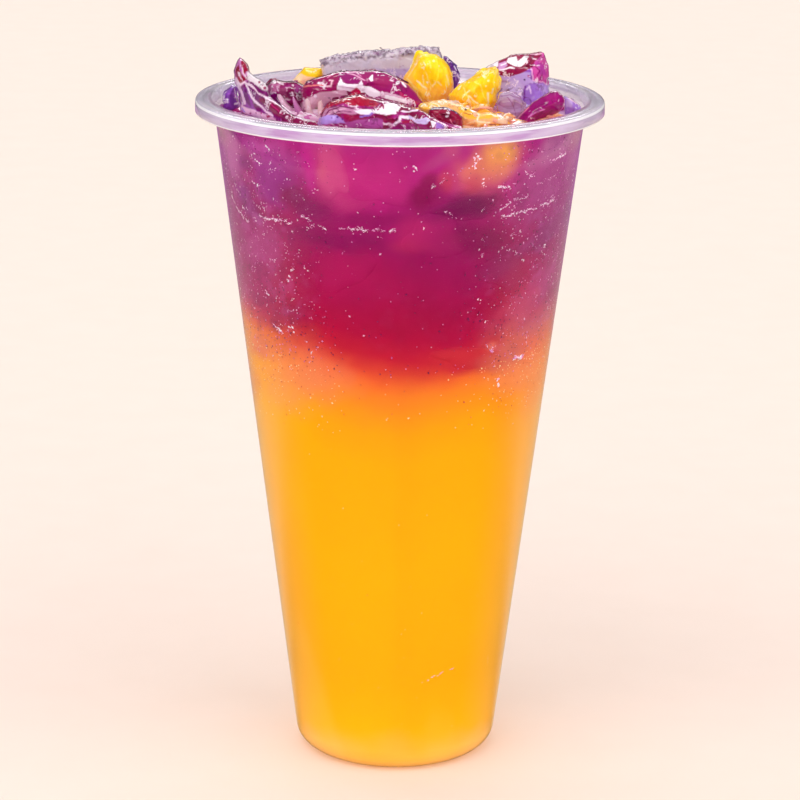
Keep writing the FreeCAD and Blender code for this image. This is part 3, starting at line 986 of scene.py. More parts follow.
def grow(name, node, slot, shape, colour, mat, at, turn, lo, hi, cell=0.3, cut_wall=0.5, smooth_times=1):
    """Meshes one piece.  shape(q) gives mm to the surface at local points q;
    colour(q, n, p) gives the colour there."""
    at = np.array(at, float)
    R = turn_matrix(turn)

    def fn(q):
        p = q @ R.T + at
        d = shape(q, p)
        if cut_wall is not None:
            wall = (np.hypot(p[:, 0], p[:, 1]) - (wall_in(p[:, 2]) - cut_wall)) * math.cos(ALPHA)
            d = smax(d, wall, 0.5)
        return d

    v, f = surface_net(fn, lo, hi, cell)
    v, f = largest_part(v, f)
    v = relax(v, f, smooth_times, 0.4)
    n = vertex_normals(v, f)
    p = v @ R.T + at
    ob = make_object(name, p, f, mat)
    attribute(ob, "tint", np.clip(colour(v, n, p), 0, 1))
    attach(ob, "root")
    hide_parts(node)
    return ob


def near_only(d, p, reach, disp):
    """Adds the relief disp(points) only close to the surface."""
    m = np.abs(d) < reach
    if m.any():
        d = d.copy()
        d[m] += disp(p[m])
    return d


def wet_ice_material(name, rough=0.10, sss=0.0, clear=0.0, grain=0.12):
    m = Nodes(name)
    a = m.attr("tint")
    co = m.coords()
    big = m.noise(520.0, 3.0, 0.55, co)
    fine = m.noise(1900.0, 3.0, 0.6, co)
    col = m.mix(m.math("MULTIPLY", fine, 0.35), a.outputs["Color"], (0.55, 0.30, 0.50), "SOFT_LIGHT")
    # thin lines where a noise passes through its middle value, in patches; the pale ones are painted highlights on the
    # wet ice, the dark ones darken it
    def strings(scale, seed_shift, width, cover, stretch=(1, 1, 1)):
        mp = m.new("ShaderNodeMapping")
        m.link(co, mp.inputs["Vector"])
        mp.inputs["Location"].default_value = (seed_shift, seed_shift * 0.7, seed_shift * 1.3)
        mp.inputs["Scale"].default_value = stretch
        a1 = m.noise(scale, 2.0, 0.5, mp.outputs[0], 0.6)
        edge = m.math("ABSOLUTE", m.math("SUBTRACT", a1, 0.5))
        on = m.ramp(edge, [(0.0, (1.0,) * 3), (width, (1.0,) * 3), (width * 2.0, (0.0,) * 3)])
        patch = m.ramp(m.noise(scale * 0.55, 1.0, 0.5, mp.outputs[0]), [(cover, (0.0,) * 3), (cover + 0.05, (1.0,) * 3)])
        return m.math("MULTIPLY", on, patch)
    light = strings(820.0, 0.0, 0.030, 0.585)
    if not clear:
        dark = strings(540.0, 0.31, 0.030, 0.56)
        col = m.mix(m.math("MULTIPLY", dark, 0.45), col, lin(84, 0, 60))
    # painted highlights: the pale lines mixed into the ice's colour
    col = m.mix(m.math("MULTIPLY", light, 0.70), col, lin(252, 234, 248))
    n = m.bump(m.math("ADD", m.math("ADD", big, m.math("MULTIPLY", fine, 0.35)), m.math("MULTIPLY", light, 0.25)), grain, 0.0008)
    p = m.principled(Base_Color=col, Roughness=rough, Normal=n)
    p.inputs["IOR"].default_value = 1.33
    p.inputs["Coat Weight"].default_value = 0.8
    p.inputs["Coat Roughness"].default_value = 0.04
    p.inputs["Coat IOR"].default_value = 1.40
    if sss:
        p.inputs["Subsurface Weight"].default_value = sss
        p.inputs["Subsurface Radius"].default_value = (1.0, 0.55, 0.8)
        p.inputs["Subsurface Scale"].default_value = 0.0012
        # painted glow: a faint emission in the ice's own colour
        m.link(a.outputs["Color"], p.inputs["Emission Color"])
        p.inputs["Emission Strength"].default_value = 0.13
    if clear:
        p.inputs["Transmission Weight"].default_value = clear
    return m.finish(p.outputs[0])


ICE = wet_ice_material("wet_purple_ice", 0.12, 0.0)
CLEAR = wet_ice_material("wet_clear_ice", 0.14, 0.0, 0.55, 0.2)
CLEAR_WET = wet_ice_material("wet_crushed_ice", 0.10, 0.35, 0.35, 0.3)

MAROON, CRIMSON, MAGENTA = (128, 6, 62), (172, 10, 54), (166, 26, 122)
PLUM, VIOLET, LILAC = (104, 16, 92), (138, 72, 178), (196, 164, 222)
ROSE, PALE_PINK, WHITE = (208, 120, 168), (240, 206, 224), (252, 244, 250)
DEEP = (92, 0, 66)


def streaks(q, seed, scale, stretch):
    return fbm(q / np.array(stretch, float), scale, seed, 3)


# ---------------------------------------------------------------------------
# outlines of the pieces above the rim.  Each is drawn square-on from the front
# and a little above, in the upright plane y = first number: (x, z) in mm.
# The marks are what shows on its front: areas, lines (with their width) and
# dots (with their size) of syrup, bare wet ice and fruit fibre; the near-white
# ones are painted highlights and painted reflections.
# ---------------------------------------------------------------------------
SHAPES = {
    "spike": (-10.0, [
        (-37.1, 169.3), (-36.1, 168.8), (-35.1, 167.8), (-34.7, 166.8), (-34.6, 165.9),
        (-33.3, 164.9), (-31.7, 163.8), (-30.4, 163.0), (-30.2, 161.7), (-29.9, 160.6),
        (-28.4, 159.4), (-26.6, 158.0), (-25.3, 157.0), (-23.8, 156.2), (-21.6, 155.5),
        (-18.7, 155.0), (-17.9, 154.2), (-18.7, 152.8), (-23.2, 152.8), (-27.0, 153.7), (-30.9, 154.3),
        (-33.9, 155.0), (-37.0, 155.8), (-37.3, 158.7), (-37.6, 160.9), (-38.0, 162.6),
        (-38.6, 164.1), (-38.6, 166.3), (-38.1, 167.8), (-37.7, 168.7)], [
        ("area", [(-38.6, 161.9), (-38.2, 165.4), (-38.0, 167.7), (-37.1, 169.4), (-35.9, 169.3), (-34.4, 167.2), (-34.3, 165.9), (-34.9, 164.1), (-36.6, 162.4)], 0.25, (206, 128, 190)),
        ("area", [(-36.6, 168.9), (-36.0, 169.0), (-35.3, 168.2), (-34.6, 166.9), (-34.7, 166.1), (-35.3, 165.8), (-35.6, 165.0), (-36.0, 165.9), (-36.4, 167.2), (-36.7, 168.1)], 0.10, (150, 0, 54)),
        ("area", [(-37.8, 166.7), (-37.3, 167.4), (-36.8, 166.7), (-36.3, 165.5), (-35.8, 164.7), (-34.9, 165.1), (-34.3, 165.5), (-34.4, 164.7), (-35.1, 164.2), (-35.8, 164.0), (-36.2, 163.1), (-36.8, 162.6), (-37.4, 163.6), (-38.1, 164.5), (-38.1, 165.6)], 0.10, (148, 0, 46)),
        ("line", [(-37.4, 165.8), (-37.0, 165.0), (-36.5, 164.3)], 0.24, (246, 206, 226)),
        ("line", [(-36.3, 166.9), (-35.9, 165.6), (-35.3, 164.5)], 0.22, (248, 220, 236)),
        ("line", [(-37.6, 168.0), (-37.1, 167.4), (-36.6, 166.1)], 0.20, (196, 90, 180)),
        ("area", [(-35.1, 165.8), (-34.4, 166.1), (-33.5, 165.5), (-32.4, 164.4), (-30.2, 162.7), (-29.9, 161.6), (-31.4, 161.8), (-32.7, 162.8), (-34.2, 163.6), (-35.1, 164.4)], 0.15, (230, 216, 222)),
        ("dot", [(-32.1, 163.5)], 0.60, (140, 10, 70)),
        ("dot", [(-30.7, 162.2)], 0.70, (150, 20, 84)),
        ("dot", [(-32.9, 164.8)], 0.45, (170, 60, 110)),
        ("dot", [(-31.4, 162.9)], 0.30, (150, 20, 84)),
        ("area", [(-35.9, 163.1), (-34.7, 162.9), (-32.7, 160.9), (-30.2, 159.5), (-27.6, 158.0), (-28.4, 157.7), (-30.7, 158.6), (-32.2, 159.8), (-33.0, 159.2), (-34.2, 160.6), (-35.2, 162.4)], 0.12, (118, 0, 104)),
        ("area", [(-36.1, 162.1), (-35.2, 162.1), (-33.7, 159.3), (-31.9, 157.1), (-32.8, 156.9), (-35.2, 157.7), (-36.4, 158.5)], 0.15, (146, 46, 160)),
        ("area", [(-36.0, 162.0), (-35.4, 161.9), (-34.6, 159.8), (-34.0, 157.8), (-34.9, 158.2), (-35.8, 159.6)], 0.20, (108, 8, 104)),
        ("area", [(-33.7, 159.0), (-32.7, 158.6), (-31.4, 157.1), (-32.0, 156.8), (-33.1, 157.3)], 0.20, (116, 4, 96)),
        ("line", [(-35.3, 162.7), (-34.1, 160.4), (-32.5, 158.6), (-30.2, 156.8), (-28.8, 156.0)], 0.46, (254, 232, 246)),
        ("line", [(-37.8, 164.3), (-36.8, 162.7), (-35.8, 163.7), (-34.3, 162.8), (-32.4, 161.2), (-30.1, 159.8), (-27.0, 157.8), (-25.0, 156.2)], 0.40, (252, 224, 240)),
        ("area", [(-32.2, 160.0), (-30.2, 159.3), (-27.1, 157.5), (-25.0, 155.8), (-22.4, 154.8), (-18.3, 154.4), (-18.3, 153.8), (-22.5, 153.9), (-26.2, 155.2), (-28.4, 156.2), (-30.2, 158.2), (-32.0, 159.2)], 0.14, (134, 0, 76)),
        ("line", [(-29.9, 158.6), (-28.1, 157.3), (-26.4, 156.2)], 0.16, (196, 30, 110)),
        ("line", [(-26.1, 155.7), (-24.8, 156.0), (-25.3, 155.3)], 0.22, (255, 236, 248)),
        ("line", [(-24.0, 155.2), (-22.0, 155.0), (-19.1, 155.2)], 0.30, (252, 226, 242)),
        ("line", [(-38.0, 164.4), (-37.2, 162.4), (-36.3, 160.6), (-35.7, 158.6)], 0.62, (226, 190, 214)),
        ("area", [(-36.7, 158.4), (-35.2, 157.6), (-32.7, 156.9), (-30.1, 156.2), (-28.0, 155.3), (-28.0, 154.7), (-32.7, 155.3), (-35.8, 156.4), (-36.8, 157.3)], 0.15, (244, 206, 228)),
        ("area", [(-30.4, 156.0), (-29.7, 156.2), (-29.2, 155.7), (-30.1, 155.4)], 0.10, (164, 20, 86)),
        ("dot", [(-31.7, 156.5)], 0.50, (160, 30, 110)),
        ("dot", [(-34.3, 156.3)], 0.45, (170, 60, 130)),
        ("dot", [(-33.0, 156.4)], 0.35, (150, 30, 110)),
        ("area", [(-32.2, 160.1), (-30.2, 159.6), (-27.1, 158.0), (-25.0, 156.5), (-22.4, 155.3), (-18.3, 154.7), (-18.0, 153.6), (-22.5, 153.7), (-26.2, 154.8), (-28.4, 156.2), (-30.2, 158.0), (-32.0, 159.2)], 0.14, (132, 0, 70)),
        ("line", [(-26.0, 157.6), (-23.9, 156.3), (-21.6, 155.4), (-18.8, 155.0)], 0.34, (255, 236, 248)),
        ("line", [(-29.4, 158.6), (-27.6, 157.3), (-26.4, 156.2)], 0.16, (206, 40, 120)),
        ("dot", [(-25.4, 155.7)], 0.60, (252, 226, 242)),
        ("dot", [(-24.6, 155.2)], 0.34, (252, 226, 242)),
        ("dot", [(-22.2, 154.7)], 0.30, (246, 210, 232)),
    ]),
    "left_lump": (4.0, [
        (-41.2, 159.2), (-40.2, 159.7), (-39.3, 160.4), (-38.5, 160.0), (-38.1, 157.9),
        (-37.5, 156.2), (-37.8, 154.3), (-39.0, 153.6), (-41.5, 154.6), (-41.8, 156.8),
        (-41.7, 158.4)], [
        ("area", [(-42.1, 159.9), (-40.6, 159.5), (-40.3, 156.8), (-40.9, 155.2), (-42.2, 155.2)], 0.30, (112, 30, 150)),
        ("dot", [(-40.3, 157.1)], 0.55, (250, 240, 255)),
        ("dot", [(-40.3, 156.5)], 0.45, (250, 240, 255)),
        ("line", [(-38.5, 156.0), (-37.8, 156.3)], 0.30, (250, 236, 252)),
        ("line", [(-39.9, 158.4), (-39.0, 158.7), (-38.3, 157.8)], 0.30, (176, 96, 212)),
    ]),
    "lump": (3.0, [
        (-31.6, 159.9), (-31.0, 161.1), (-30.0, 161.9), (-29.2, 162.1), (-27.4, 161.9),
        (-25.2, 161.7), (-23.6, 161.4), (-22.4, 160.9), (-21.9, 160.2), (-19.6, 160.2),
        (-19.3, 158.9), (-20.5, 157.5), (-21.6, 156.3), (-22.7, 154.9), (-26.8, 154.4),
        (-28.6, 155.2), (-30.0, 156.3), (-31.0, 157.7), (-31.6, 158.9)], [
        ("area", [(-31.1, 160.2), (-30.0, 161.1), (-27.8, 161.2), (-27.9, 159.6), (-28.8, 159.3), (-29.9, 158.8), (-30.8, 158.6)], 0.12, (188, 92, 146)),
        ("area", [(-27.9, 160.2), (-26.4, 160.2), (-26.2, 158.2), (-27.2, 157.9), (-28.3, 159.0)], 0.10, (150, 56, 104)),
        ("area", [(-30.2, 158.8), (-28.9, 159.0), (-27.1, 157.4), (-26.8, 156.6), (-27.7, 155.7), (-29.0, 156.4), (-30.0, 157.4)], 0.10, (142, 2, 118)),
        ("area", [(-26.1, 160.2), (-24.6, 160.6), (-24.3, 159.0), (-23.0, 159.0), (-23.2, 157.4), (-25.8, 157.4), (-26.1, 159.0)], 0.12, (128, 2, 76)),
        ("area", [(-24.3, 160.9), (-22.4, 160.3), (-22.7, 159.0), (-24.3, 159.3)], 0.12, (150, 40, 120)),
        ("area", [(-22.4, 160.3), (-19.9, 160.3), (-19.7, 158.9), (-21.6, 157.4), (-22.4, 157.0), (-23.0, 158.4)], 0.12, (160, 0, 70)),
        ("line", [(-31.0, 160.8), (-30.0, 161.7), (-29.2, 162.0), (-25.2, 161.5), (-22.5, 160.8)], 0.35, (104, 0, 56)),
        ("line", [(-23.2, 158.4), (-22.2, 157.4), (-21.8, 156.7)], 0.22, (226, 150, 190)),
        ("line", [(-22.9, 159.6), (-21.5, 160.6)], 0.22, (232, 140, 180)),
        ("line", [(-20.8, 160.3), (-20.0, 159.3)], 0.16, (200, 60, 120)),
        ("dot", [(-29.3, 161.5)], 0.70, (252, 240, 248)),
        ("line", [(-28.2, 161.3), (-27.2, 161.1)], 0.35, (246, 214, 234)),
        ("line", [(-28.5, 160.5), (-28.2, 159.6)], 0.25, (240, 200, 226)),
        ("line", [(-29.9, 158.8), (-29.3, 159.2), (-28.8, 159.0)], 0.32, (246, 220, 240)),
        ("line", [(-25.4, 158.8), (-24.9, 159.1), (-24.7, 158.4), (-25.2, 158.3)], 0.25, (248, 226, 240)),
        ("dot", [(-24.9, 160.7)], 0.50, (244, 214, 232)),
        ("dot", [(-30.6, 158.0)], 0.90, (252, 236, 250)),
    ]),
    "middle": (0.0, [
        (-22.5, 161.4), (-21.7, 162.5), (-20.5, 163.0), (-18.2, 163.7), (-14.4, 164.7),
        (-12.4, 164.9), (-10.2, 165.1), (-6.1, 165.0), (-3.1, 164.6), (-0.6, 163.6), (1.9, 162.1),
        (3.9, 160.1), (5.7, 157.5), (7.3, 155.5), (7.5, 153.2), (2.0, 153.2), (-4.1, 154.7),
        (-9.1, 156.1), (-13.1, 157.1), (-16.9, 156.6), (-18.4, 155.3), (-20.7, 154.0),
        (-23.2, 155.0), (-23.0, 158.1), (-23.2, 159.6)], [
        ("area", [(-23.2, 164.1), (-16.7, 164.7), (-14.2, 164.7), (-14.2, 159.7), (-18.2, 159.1), (-23.2, 157.0)], 0.25, (150, 6, 84)),
        ("area", [(-14.2, 165.0), (-9.2, 165.3), (-9.1, 160.7), (-14.2, 159.9)], 0.25, (146, 10, 104)),
        ("area", [(-9.2, 165.3), (-3.1, 164.8), (1.9, 162.3), (6.5, 156.5), (3.5, 157.0), (-0.6, 159.0), (-4.9, 160.1), (-9.1, 160.7)], 0.20, (152, 12, 98)),
        ("area", [(-1.3, 160.8), (1.9, 159.0), (4.7, 157.0), (6.0, 156.5), (3.0, 157.3), (0.2, 158.8)], 0.15, (184, 16, 96)),
        ("area", [(-5.9, 163.0), (-3.1, 163.6), (-1.6, 162.3), (-3.6, 160.8), (-5.9, 161.5)], 0.50, (160, 30, 96)),
        ("line", [(-22.2, 161.7), (-20.5, 162.9), (-18.2, 163.6), (-14.4, 164.6), (-10.2, 165.0), (-6.1, 164.9), (-3.1, 164.4), (-0.6, 163.5), (1.9, 162.0), (4.0, 160.0), (5.7, 157.4), (7.1, 155.6)], 0.40, (88, 0, 60)),
        ("area", [(-23.2, 157.0), (-21.7, 158.1), (-18.7, 159.6), (-15.7, 160.0), (-12.4, 160.6), (-12.1, 159.2), (-15.7, 158.5), (-16.9, 157.1), (-18.7, 155.0), (-21.2, 153.7), (-23.2, 154.0)], 0.15, (224, 178, 196)),
        ("area", [(-21.2, 155.5), (-20.2, 155.8), (-20.1, 154.5), (-21.1, 154.3)], 0.20, (150, 140, 110)),
        ("area", [(-19.6, 156.1), (-18.4, 156.3), (-18.4, 154.9), (-19.4, 154.8)], 0.20, (170, 150, 130)),
        ("area", [(-13.8, 163.2), (-13.2, 162.2), (-12.4, 161.8), (-9.5, 161.7), (-8.8, 162.6), (-8.4, 161.2), (-6.9, 161.2), (-4.7, 160.0), (-4.6, 159.0), (-5.6, 158.6), (-7.1, 158.9), (-8.1, 159.7), (-9.1, 159.7), (-10.1, 160.8), (-11.4, 159.9), (-12.4, 160.1), (-14.4, 160.4), (-14.3, 161.6)], 0.06, (253, 240, 251)),
        ("area", [(-11.4, 159.9), (-10.1, 160.9), (-9.1, 160.1), (-9.1, 159.2), (-11.1, 159.4)], 0.08, (190, 16, 70)),
        ("area", [(-4.7, 160.0), (-0.6, 159.3), (2.0, 158.0), (3.5, 157.3), (2.2, 157.2), (-1.1, 157.7), (-4.5, 158.6)], 0.10, (224, 176, 204)),
        ("area", [(-3.3, 159.1), (-1.6, 159.0), (1.1, 158.1), (1.0, 157.2), (-1.1, 157.6), (-3.7, 158.1)], 0.06, (253, 245, 253)),
        ("area", [(-7.1, 163.1), (-6.3, 164.0), (-6.0, 162.5), (-6.6, 162.3)], 0.06, (253, 240, 251)),
        ("dot", [(-0.6, 162.1)], 0.75, (253, 240, 251)),
        ("line", [(0.5, 161.9), (1.3, 161.2)], 0.45, (253, 240, 251)),
        ("line", [(-2.2, 162.8), (-1.6, 162.6)], 0.25, (250, 226, 242)),
        ("dot", [(-18.8, 161.9)], 0.65, (253, 236, 248)),
        ("line", [(-16.1, 162.4), (-15.4, 162.4), (-15.9, 161.2), (-17.6, 161.1)], 0.30, (244, 190, 206)),
        ("line", [(-22.5, 160.9), (-20.5, 161.1), (-17.4, 161.5)], 0.35, (228, 120, 120)),
        ("line", [(-12.2, 164.2), (-10.7, 163.9), (-9.1, 163.1), (-8.1, 162.5)], 0.22, (240, 170, 206)),
        ("line", [(-12.4, 164.6), (-10.2, 164.5), (-8.9, 163.5)], 0.15, (236, 140, 190)),
        ("line", [(-16.8, 163.2), (-15.7, 163.7)], 0.20, (236, 140, 180)),
        ("line", [(-6.1, 164.6), (-4.6, 164.3)], 0.20, (236, 150, 200)),
        ("area", [(-4.5, 158.6), (-0.6, 157.6), (3.5, 156.8), (6.8, 156.0), (7.3, 153.7), (-0.5, 154.2), (-4.6, 156.4)], 0.12, (140, 4, 82)),
    ]),
    "front": (-20.0, [
        (-18.5, 156.0), (-18.0, 158.3), (-17.0, 159.8), (-15.9, 161.1), (-12.3, 162.1),
        (-8.8, 162.7), (-6.9, 161.9), (-5.4, 161.8), (-3.0, 161.4), (0.9, 160.4), (4.4, 159.7),
        (6.8, 158.2), (9.3, 157.1), (11.8, 156.0), (14.2, 155.3), (14.2, 153.3), (-0.5, 152.7),
        (-12.7, 153.1), (-18.6, 154.0)], [
        ("area", [(-18.9, 162.2), (-8.8, 163.0), (-6.4, 161.9), (-4.3, 160.4), (-5.6, 159.8), (-10.3, 160.2), (-12.7, 160.5), (-15.2, 160.1), (-17.1, 159.0), (-18.8, 156.5)], 0.12, (172, 2, 52)),
        ("line", [(-18.0, 158.3), (-16.9, 159.9), (-15.9, 161.0), (-12.3, 162.0), (-8.8, 162.5)], 0.35, (112, 0, 50)),
        ("area", [(-6.9, 161.9), (-3.0, 161.4), (0.9, 160.4), (4.6, 159.6), (7.1, 158.0), (6.4, 157.7), (4.4, 159.2), (1.0, 159.7), (-0.5, 160.1), (-2.2, 160.6), (-4.4, 160.4)], 0.10, (134, 4, 80)),
        ("area", [(-16.7, 159.5), (-14.5, 159.9), (-8.8, 159.6), (-7.8, 158.8), (-10.3, 158.1), (-12.7, 158.3), (-15.7, 158.0), (-17.4, 157.5)], 0.12, (196, 130, 166)),
        ("line", [(-17.0, 157.5), (-15.9, 159.1), (-13.2, 159.8), (-10.3, 159.6)], 0.25, (120, 20, 80)),
        ("line", [(-16.4, 157.8), (-14.9, 158.9), (-12.2, 159.3)], 0.18, (226, 180, 204)),
        ("line", [(-15.2, 158.0), (-13.7, 158.7), (-10.8, 158.8)], 0.18, (110, 30, 84)),
        ("area", [(-10.3, 159.0), (-8.8, 159.3), (-5.9, 159.2), (-5.6, 158.6), (-7.4, 158.0), (-8.8, 158.1)], 0.08, (250, 238, 252)),
        ("line", [(-8.8, 157.6), (-6.9, 158.0), (-5.6, 158.6)], 0.35, (150, 110, 200)),
        ("area", [(-12.7, 157.9), (-11.0, 158.1), (-9.1, 157.7), (-9.3, 157.0), (-10.8, 156.7), (-12.4, 157.1)], 0.08, (150, 6, 70)),
        ("area", [(-18.6, 157.0), (-16.2, 158.0), (-14.0, 157.9), (-12.7, 156.8), (-12.0, 156.1), (-15.2, 156.1), (-18.4, 155.5)], 0.15, (180, 150, 224)),
        ("dot", [(-13.8, 157.4)], 0.45, (90, 30, 140)),
        ("dot", [(-12.8, 156.9)], 0.45, (90, 30, 140)),
        ("dot", [(-15.2, 157.3)], 0.30, (110, 50, 150)),
        ("area", [(-12.0, 156.3), (-8.8, 157.0), (-5.4, 157.4), (-3.9, 157.0), (-3.7, 155.2), (-7.8, 154.6), (-12.0, 155.1)], 0.15, (176, 84, 160)),
        ("area", [(-5.9, 158.9), (-4.4, 160.1), (-3.2, 160.6), (-1.3, 160.7), (0.1, 159.7), (-0.7, 158.3), (-2.9, 158.1), (-5.6, 158.2)], 0.06, (253, 242, 252)),
        ("line", [(-4.9, 159.2), (-3.8, 160.4), (-3.6, 159.6)], 0.30, (150, 10, 80)),
        ("dot", [(-0.6, 158.7)], 0.50, (150, 10, 90)),
        ("area", [(-3.8, 157.3), (-1.7, 157.4), (-0.9, 156.7), (-1.5, 156.3), (-3.7, 156.5)], 0.07, (150, 6, 70)),
        ("line", [(-1.2, 155.9), (-0.2, 156.7), (0.2, 157.7), (2.2, 157.6)], 0.60, (252, 238, 250)),
        ("area", [(0.4, 156.7), (2.7, 157.1), (2.7, 156.5), (0.7, 156.1)], 0.08, (166, 10, 70)),
        ("line", [(0.5, 159.0), (1.9, 158.7), (3.9, 159.2)], 0.35, (248, 226, 246)),
        ("area", [(2.9, 158.7), (4.4, 158.9), (5.4, 158.5), (4.1, 158.1)], 0.08, (150, 10, 84)),
        ("area", [(1.9, 158.2), (3.4, 157.2), (6.1, 157.7), (6.8, 157.1), (5.9, 156.2), (3.9, 156.3), (2.4, 157.1)], 0.08, (214, 196, 240)),
        ("area", [(6.8, 157.0), (8.0, 156.8), (7.7, 155.8), (7.1, 155.5)], 0.06, (252, 244, 255)),
        ("area", [(8.1, 156.8), (10.0, 156.0), (9.8, 155.3), (7.8, 155.3)], 0.12, (160, 110, 200)),
        ("area", [(8.1, 157.2), (11.8, 156.0), (14.2, 155.6), (13.7, 155.1), (10.0, 155.8)], 0.10, (190, 70, 150)),
        ("line", [(-10.3, 155.1), (-5.4, 154.7), (-0.5, 154.9), (6.9, 154.9)], 0.35, (150, 20, 110)),
        ("line", [(-18.4, 155.3), (-14.0, 155.3)], 0.35, (250, 226, 244)),
        ("dot", [(-12.0, 155.5)], 0.40, (253, 240, 251)),
    ]),
    "small": (-27.0, [
        (6.4, 160.4), (7.2, 160.9), (10.0, 161.1), (11.6, 160.8), (13.2, 159.8), (14.2, 158.8),
        (14.4, 157.3), (14.2, 155.3), (7.3, 155.3), (6.6, 158.5)], [
        ("area", [(5.9, 161.3), (14.7, 161.4), (14.8, 154.7), (6.0, 154.6)], 0.20, (146, 0, 54)),
        ("area", [(8.8, 159.7), (11.0, 160.1), (11.9, 158.5), (10.0, 158.2)], 0.50, (110, 0, 46)),
        ("line", [(6.7, 160.6), (10.0, 161.0), (11.6, 160.6), (13.2, 159.7), (14.1, 158.6)], 0.45, (60, 10, 60)),
        ("dot", [(11.1, 160.6)], 0.50, (170, 150, 200)),
        ("dot", [(12.5, 159.8)], 0.40, (150, 130, 190)),
        ("line", [(7.2, 159.7), (8.2, 158.5), (9.4, 157.5)], 0.14, (226, 120, 160)),
        ("line", [(11.3, 158.2), (11.8, 157.2)], 0.14, (236, 140, 170)),
    ]),
    "tall_fruit": (11.0, [
        (3.5, 166.4), (4.3, 167.7), (5.6, 167.4), (8.4, 167.2), (10.3, 165.9), (11.7, 164.2),
        (12.4, 162.5), (12.7, 160.5), (12.2, 157.2), (8.6, 153.2), (4.3, 154.5), (1.3, 157.1),
        (0.4, 160.4), (0.7, 161.7), (1.2, 162.4), (2.2, 163.4), (2.9, 164.8)], [
        ("area", [(5.5, 166.8), (8.4, 166.5), (10.4, 164.2), (10.2, 160.5), (7.5, 159.8), (5.5, 162.5)], 0.80, (255, 212, 10)),
        ("area", [(3.7, 166.8), (5.5, 167.1), (5.8, 164.5), (4.9, 161.1), (3.9, 160.5), (3.5, 163.8)], 0.50, (255, 196, 24)),
        ("area", [(0.2, 162.4), (2.5, 163.1), (3.9, 159.8), (2.6, 157.8), (0.3, 159.1)], 0.50, (250, 178, 60)),
        ("area", [(0.3, 158.8), (5.9, 159.5), (12.2, 159.5), (12.9, 153.2), (1.0, 153.1)], 0.70, (250, 190, 70)),
        ("line", [(3.9, 160.8), (5.5, 159.5), (6.2, 158.8)], 0.30, (255, 236, 190)),
        ("line", [(7.5, 159.5), (8.5, 160.8), (9.5, 159.8)], 0.28, (255, 232, 170)),
        ("line", [(5.2, 162.1), (5.4, 160.1)], 0.22, (255, 238, 160)),
        ("line", [(6.8, 165.5), (7.2, 163.8)], 0.25, (255, 236, 120)),
        ("line", [(10.8, 162.2), (11.5, 159.9)], 0.30, (255, 232, 150)),
        ("line", [(1.6, 161.4), (3.2, 159.5), (4.2, 158.8)], 0.30, (255, 216, 130)),
        ("dot", [(7.8, 165.5)], 0.50, (255, 246, 190)),
        ("dot", [(9.1, 164.2)], 0.40, (255, 246, 190)),
        ("dot", [(6.3, 160.5)], 0.50, (255, 250, 220)),
        ("line", [(8.4, 166.1), (9.1, 163.5), (8.5, 160.5)], 0.30, (255, 228, 60)),
        ("line", [(5.8, 162.8), (7.2, 159.8), (6.9, 158.2)], 0.20, (255, 226, 120)),
        ("line", [(4.2, 166.8), (3.5, 164.4), (1.9, 161.8)], 0.25, (252, 206, 120)),
    ]),
    "leaning_fruit": (1.0, [
        (22.2, 166.0), (22.7, 164.2), (23.2, 162.6), (23.3, 160.8), (22.4, 159.5), (22.8, 157.6),
        (21.7, 155.7), (18.6, 153.7), (15.3, 154.3), (12.1, 156.6), (11.2, 159.2), (12.5, 160.9),
        (13.9, 161.9), (15.6, 162.9), (17.2, 163.8), (18.5, 164.8), (20.1, 165.4)], [
        ("area", [(18.5, 163.5), (21.7, 164.5), (22.7, 161.6), (21.5, 159.0), (18.6, 158.3), (16.6, 160.9)], 0.80, (255, 208, 8)),
        ("area", [(11.4, 159.5), (14.6, 161.5), (17.2, 159.6), (18.6, 157.0), (21.8, 156.6), (20.6, 153.7), (12.1, 154.9)], 0.50, (250, 184, 30)),
        ("area", [(10.7, 158.2), (15.3, 157.3), (20.6, 155.6), (20.6, 153.0), (10.8, 153.6)], 0.70, (250, 180, 60)),
        ("line", [(15.9, 158.9), (17.3, 157.6), (18.6, 156.6)], 0.34, (255, 240, 200)),
        ("line", [(15.0, 159.2), (15.9, 160.2)], 0.28, (255, 238, 180)),
        ("line", [(20.2, 159.6), (20.5, 157.6), (20.2, 156.3)], 0.34, (255, 242, 190)),
        ("line", [(21.1, 159.6), (21.6, 160.6)], 0.26, (255, 246, 200)),
        ("dot", [(20.4, 162.6)], 0.50, (255, 248, 200)),
        ("dot", [(19.8, 161.2)], 0.45, (255, 248, 200)),
        ("dot", [(21.8, 162.2)], 0.40, (255, 248, 200)),
        ("dot", [(19.3, 163.5)], 0.50, (255, 248, 210)),
        ("dot", [(15.9, 162.2)], 0.40, (255, 246, 190)),
        ("line", [(20.2, 156.0), (20.9, 155.9)], 0.40, (255, 250, 230)),
        ("line", [(17.2, 162.2), (18.5, 161.6), (18.8, 160.2)], 0.22, (255, 236, 130)),
        ("line", [(22.2, 165.5), (21.6, 162.2), (22.4, 159.6)], 0.25, (255, 226, 70)),
        ("line", [(14.6, 160.9), (15.9, 158.2), (17.3, 156.9)], 0.22, (255, 224, 110)),
        ("line", [(18.5, 161.2), (19.9, 157.9)], 0.22, (255, 226, 90)),
        ("line", [(18.8, 164.7), (16.8, 163.4), (13.9, 161.8)], 0.25, (255, 222, 100)),
    ]),
    "back_fruit": (24.0, [
        (-23.9, 160.7), (-23.0, 161.8), (-20.8, 161.6), (-18.8, 161.7), (-18.1, 160.4),
        (-18.5, 158.2), (-20.8, 156.8), (-24.9, 156.7), (-26.1, 158.1), (-25.2, 159.4)], [
        ("area", [(-26.6, 158.8), (-24.9, 159.6), (-23.5, 160.3), (-22.2, 159.4), (-20.2, 159.2), (-20.8, 156.4), (-26.2, 156.4)], 0.15, (246, 204, 176)),
        ("area", [(-23.5, 161.5), (-18.5, 161.9), (-18.1, 159.9), (-22.2, 159.4), (-23.7, 160.3)], 0.20, (254, 200, 20)),
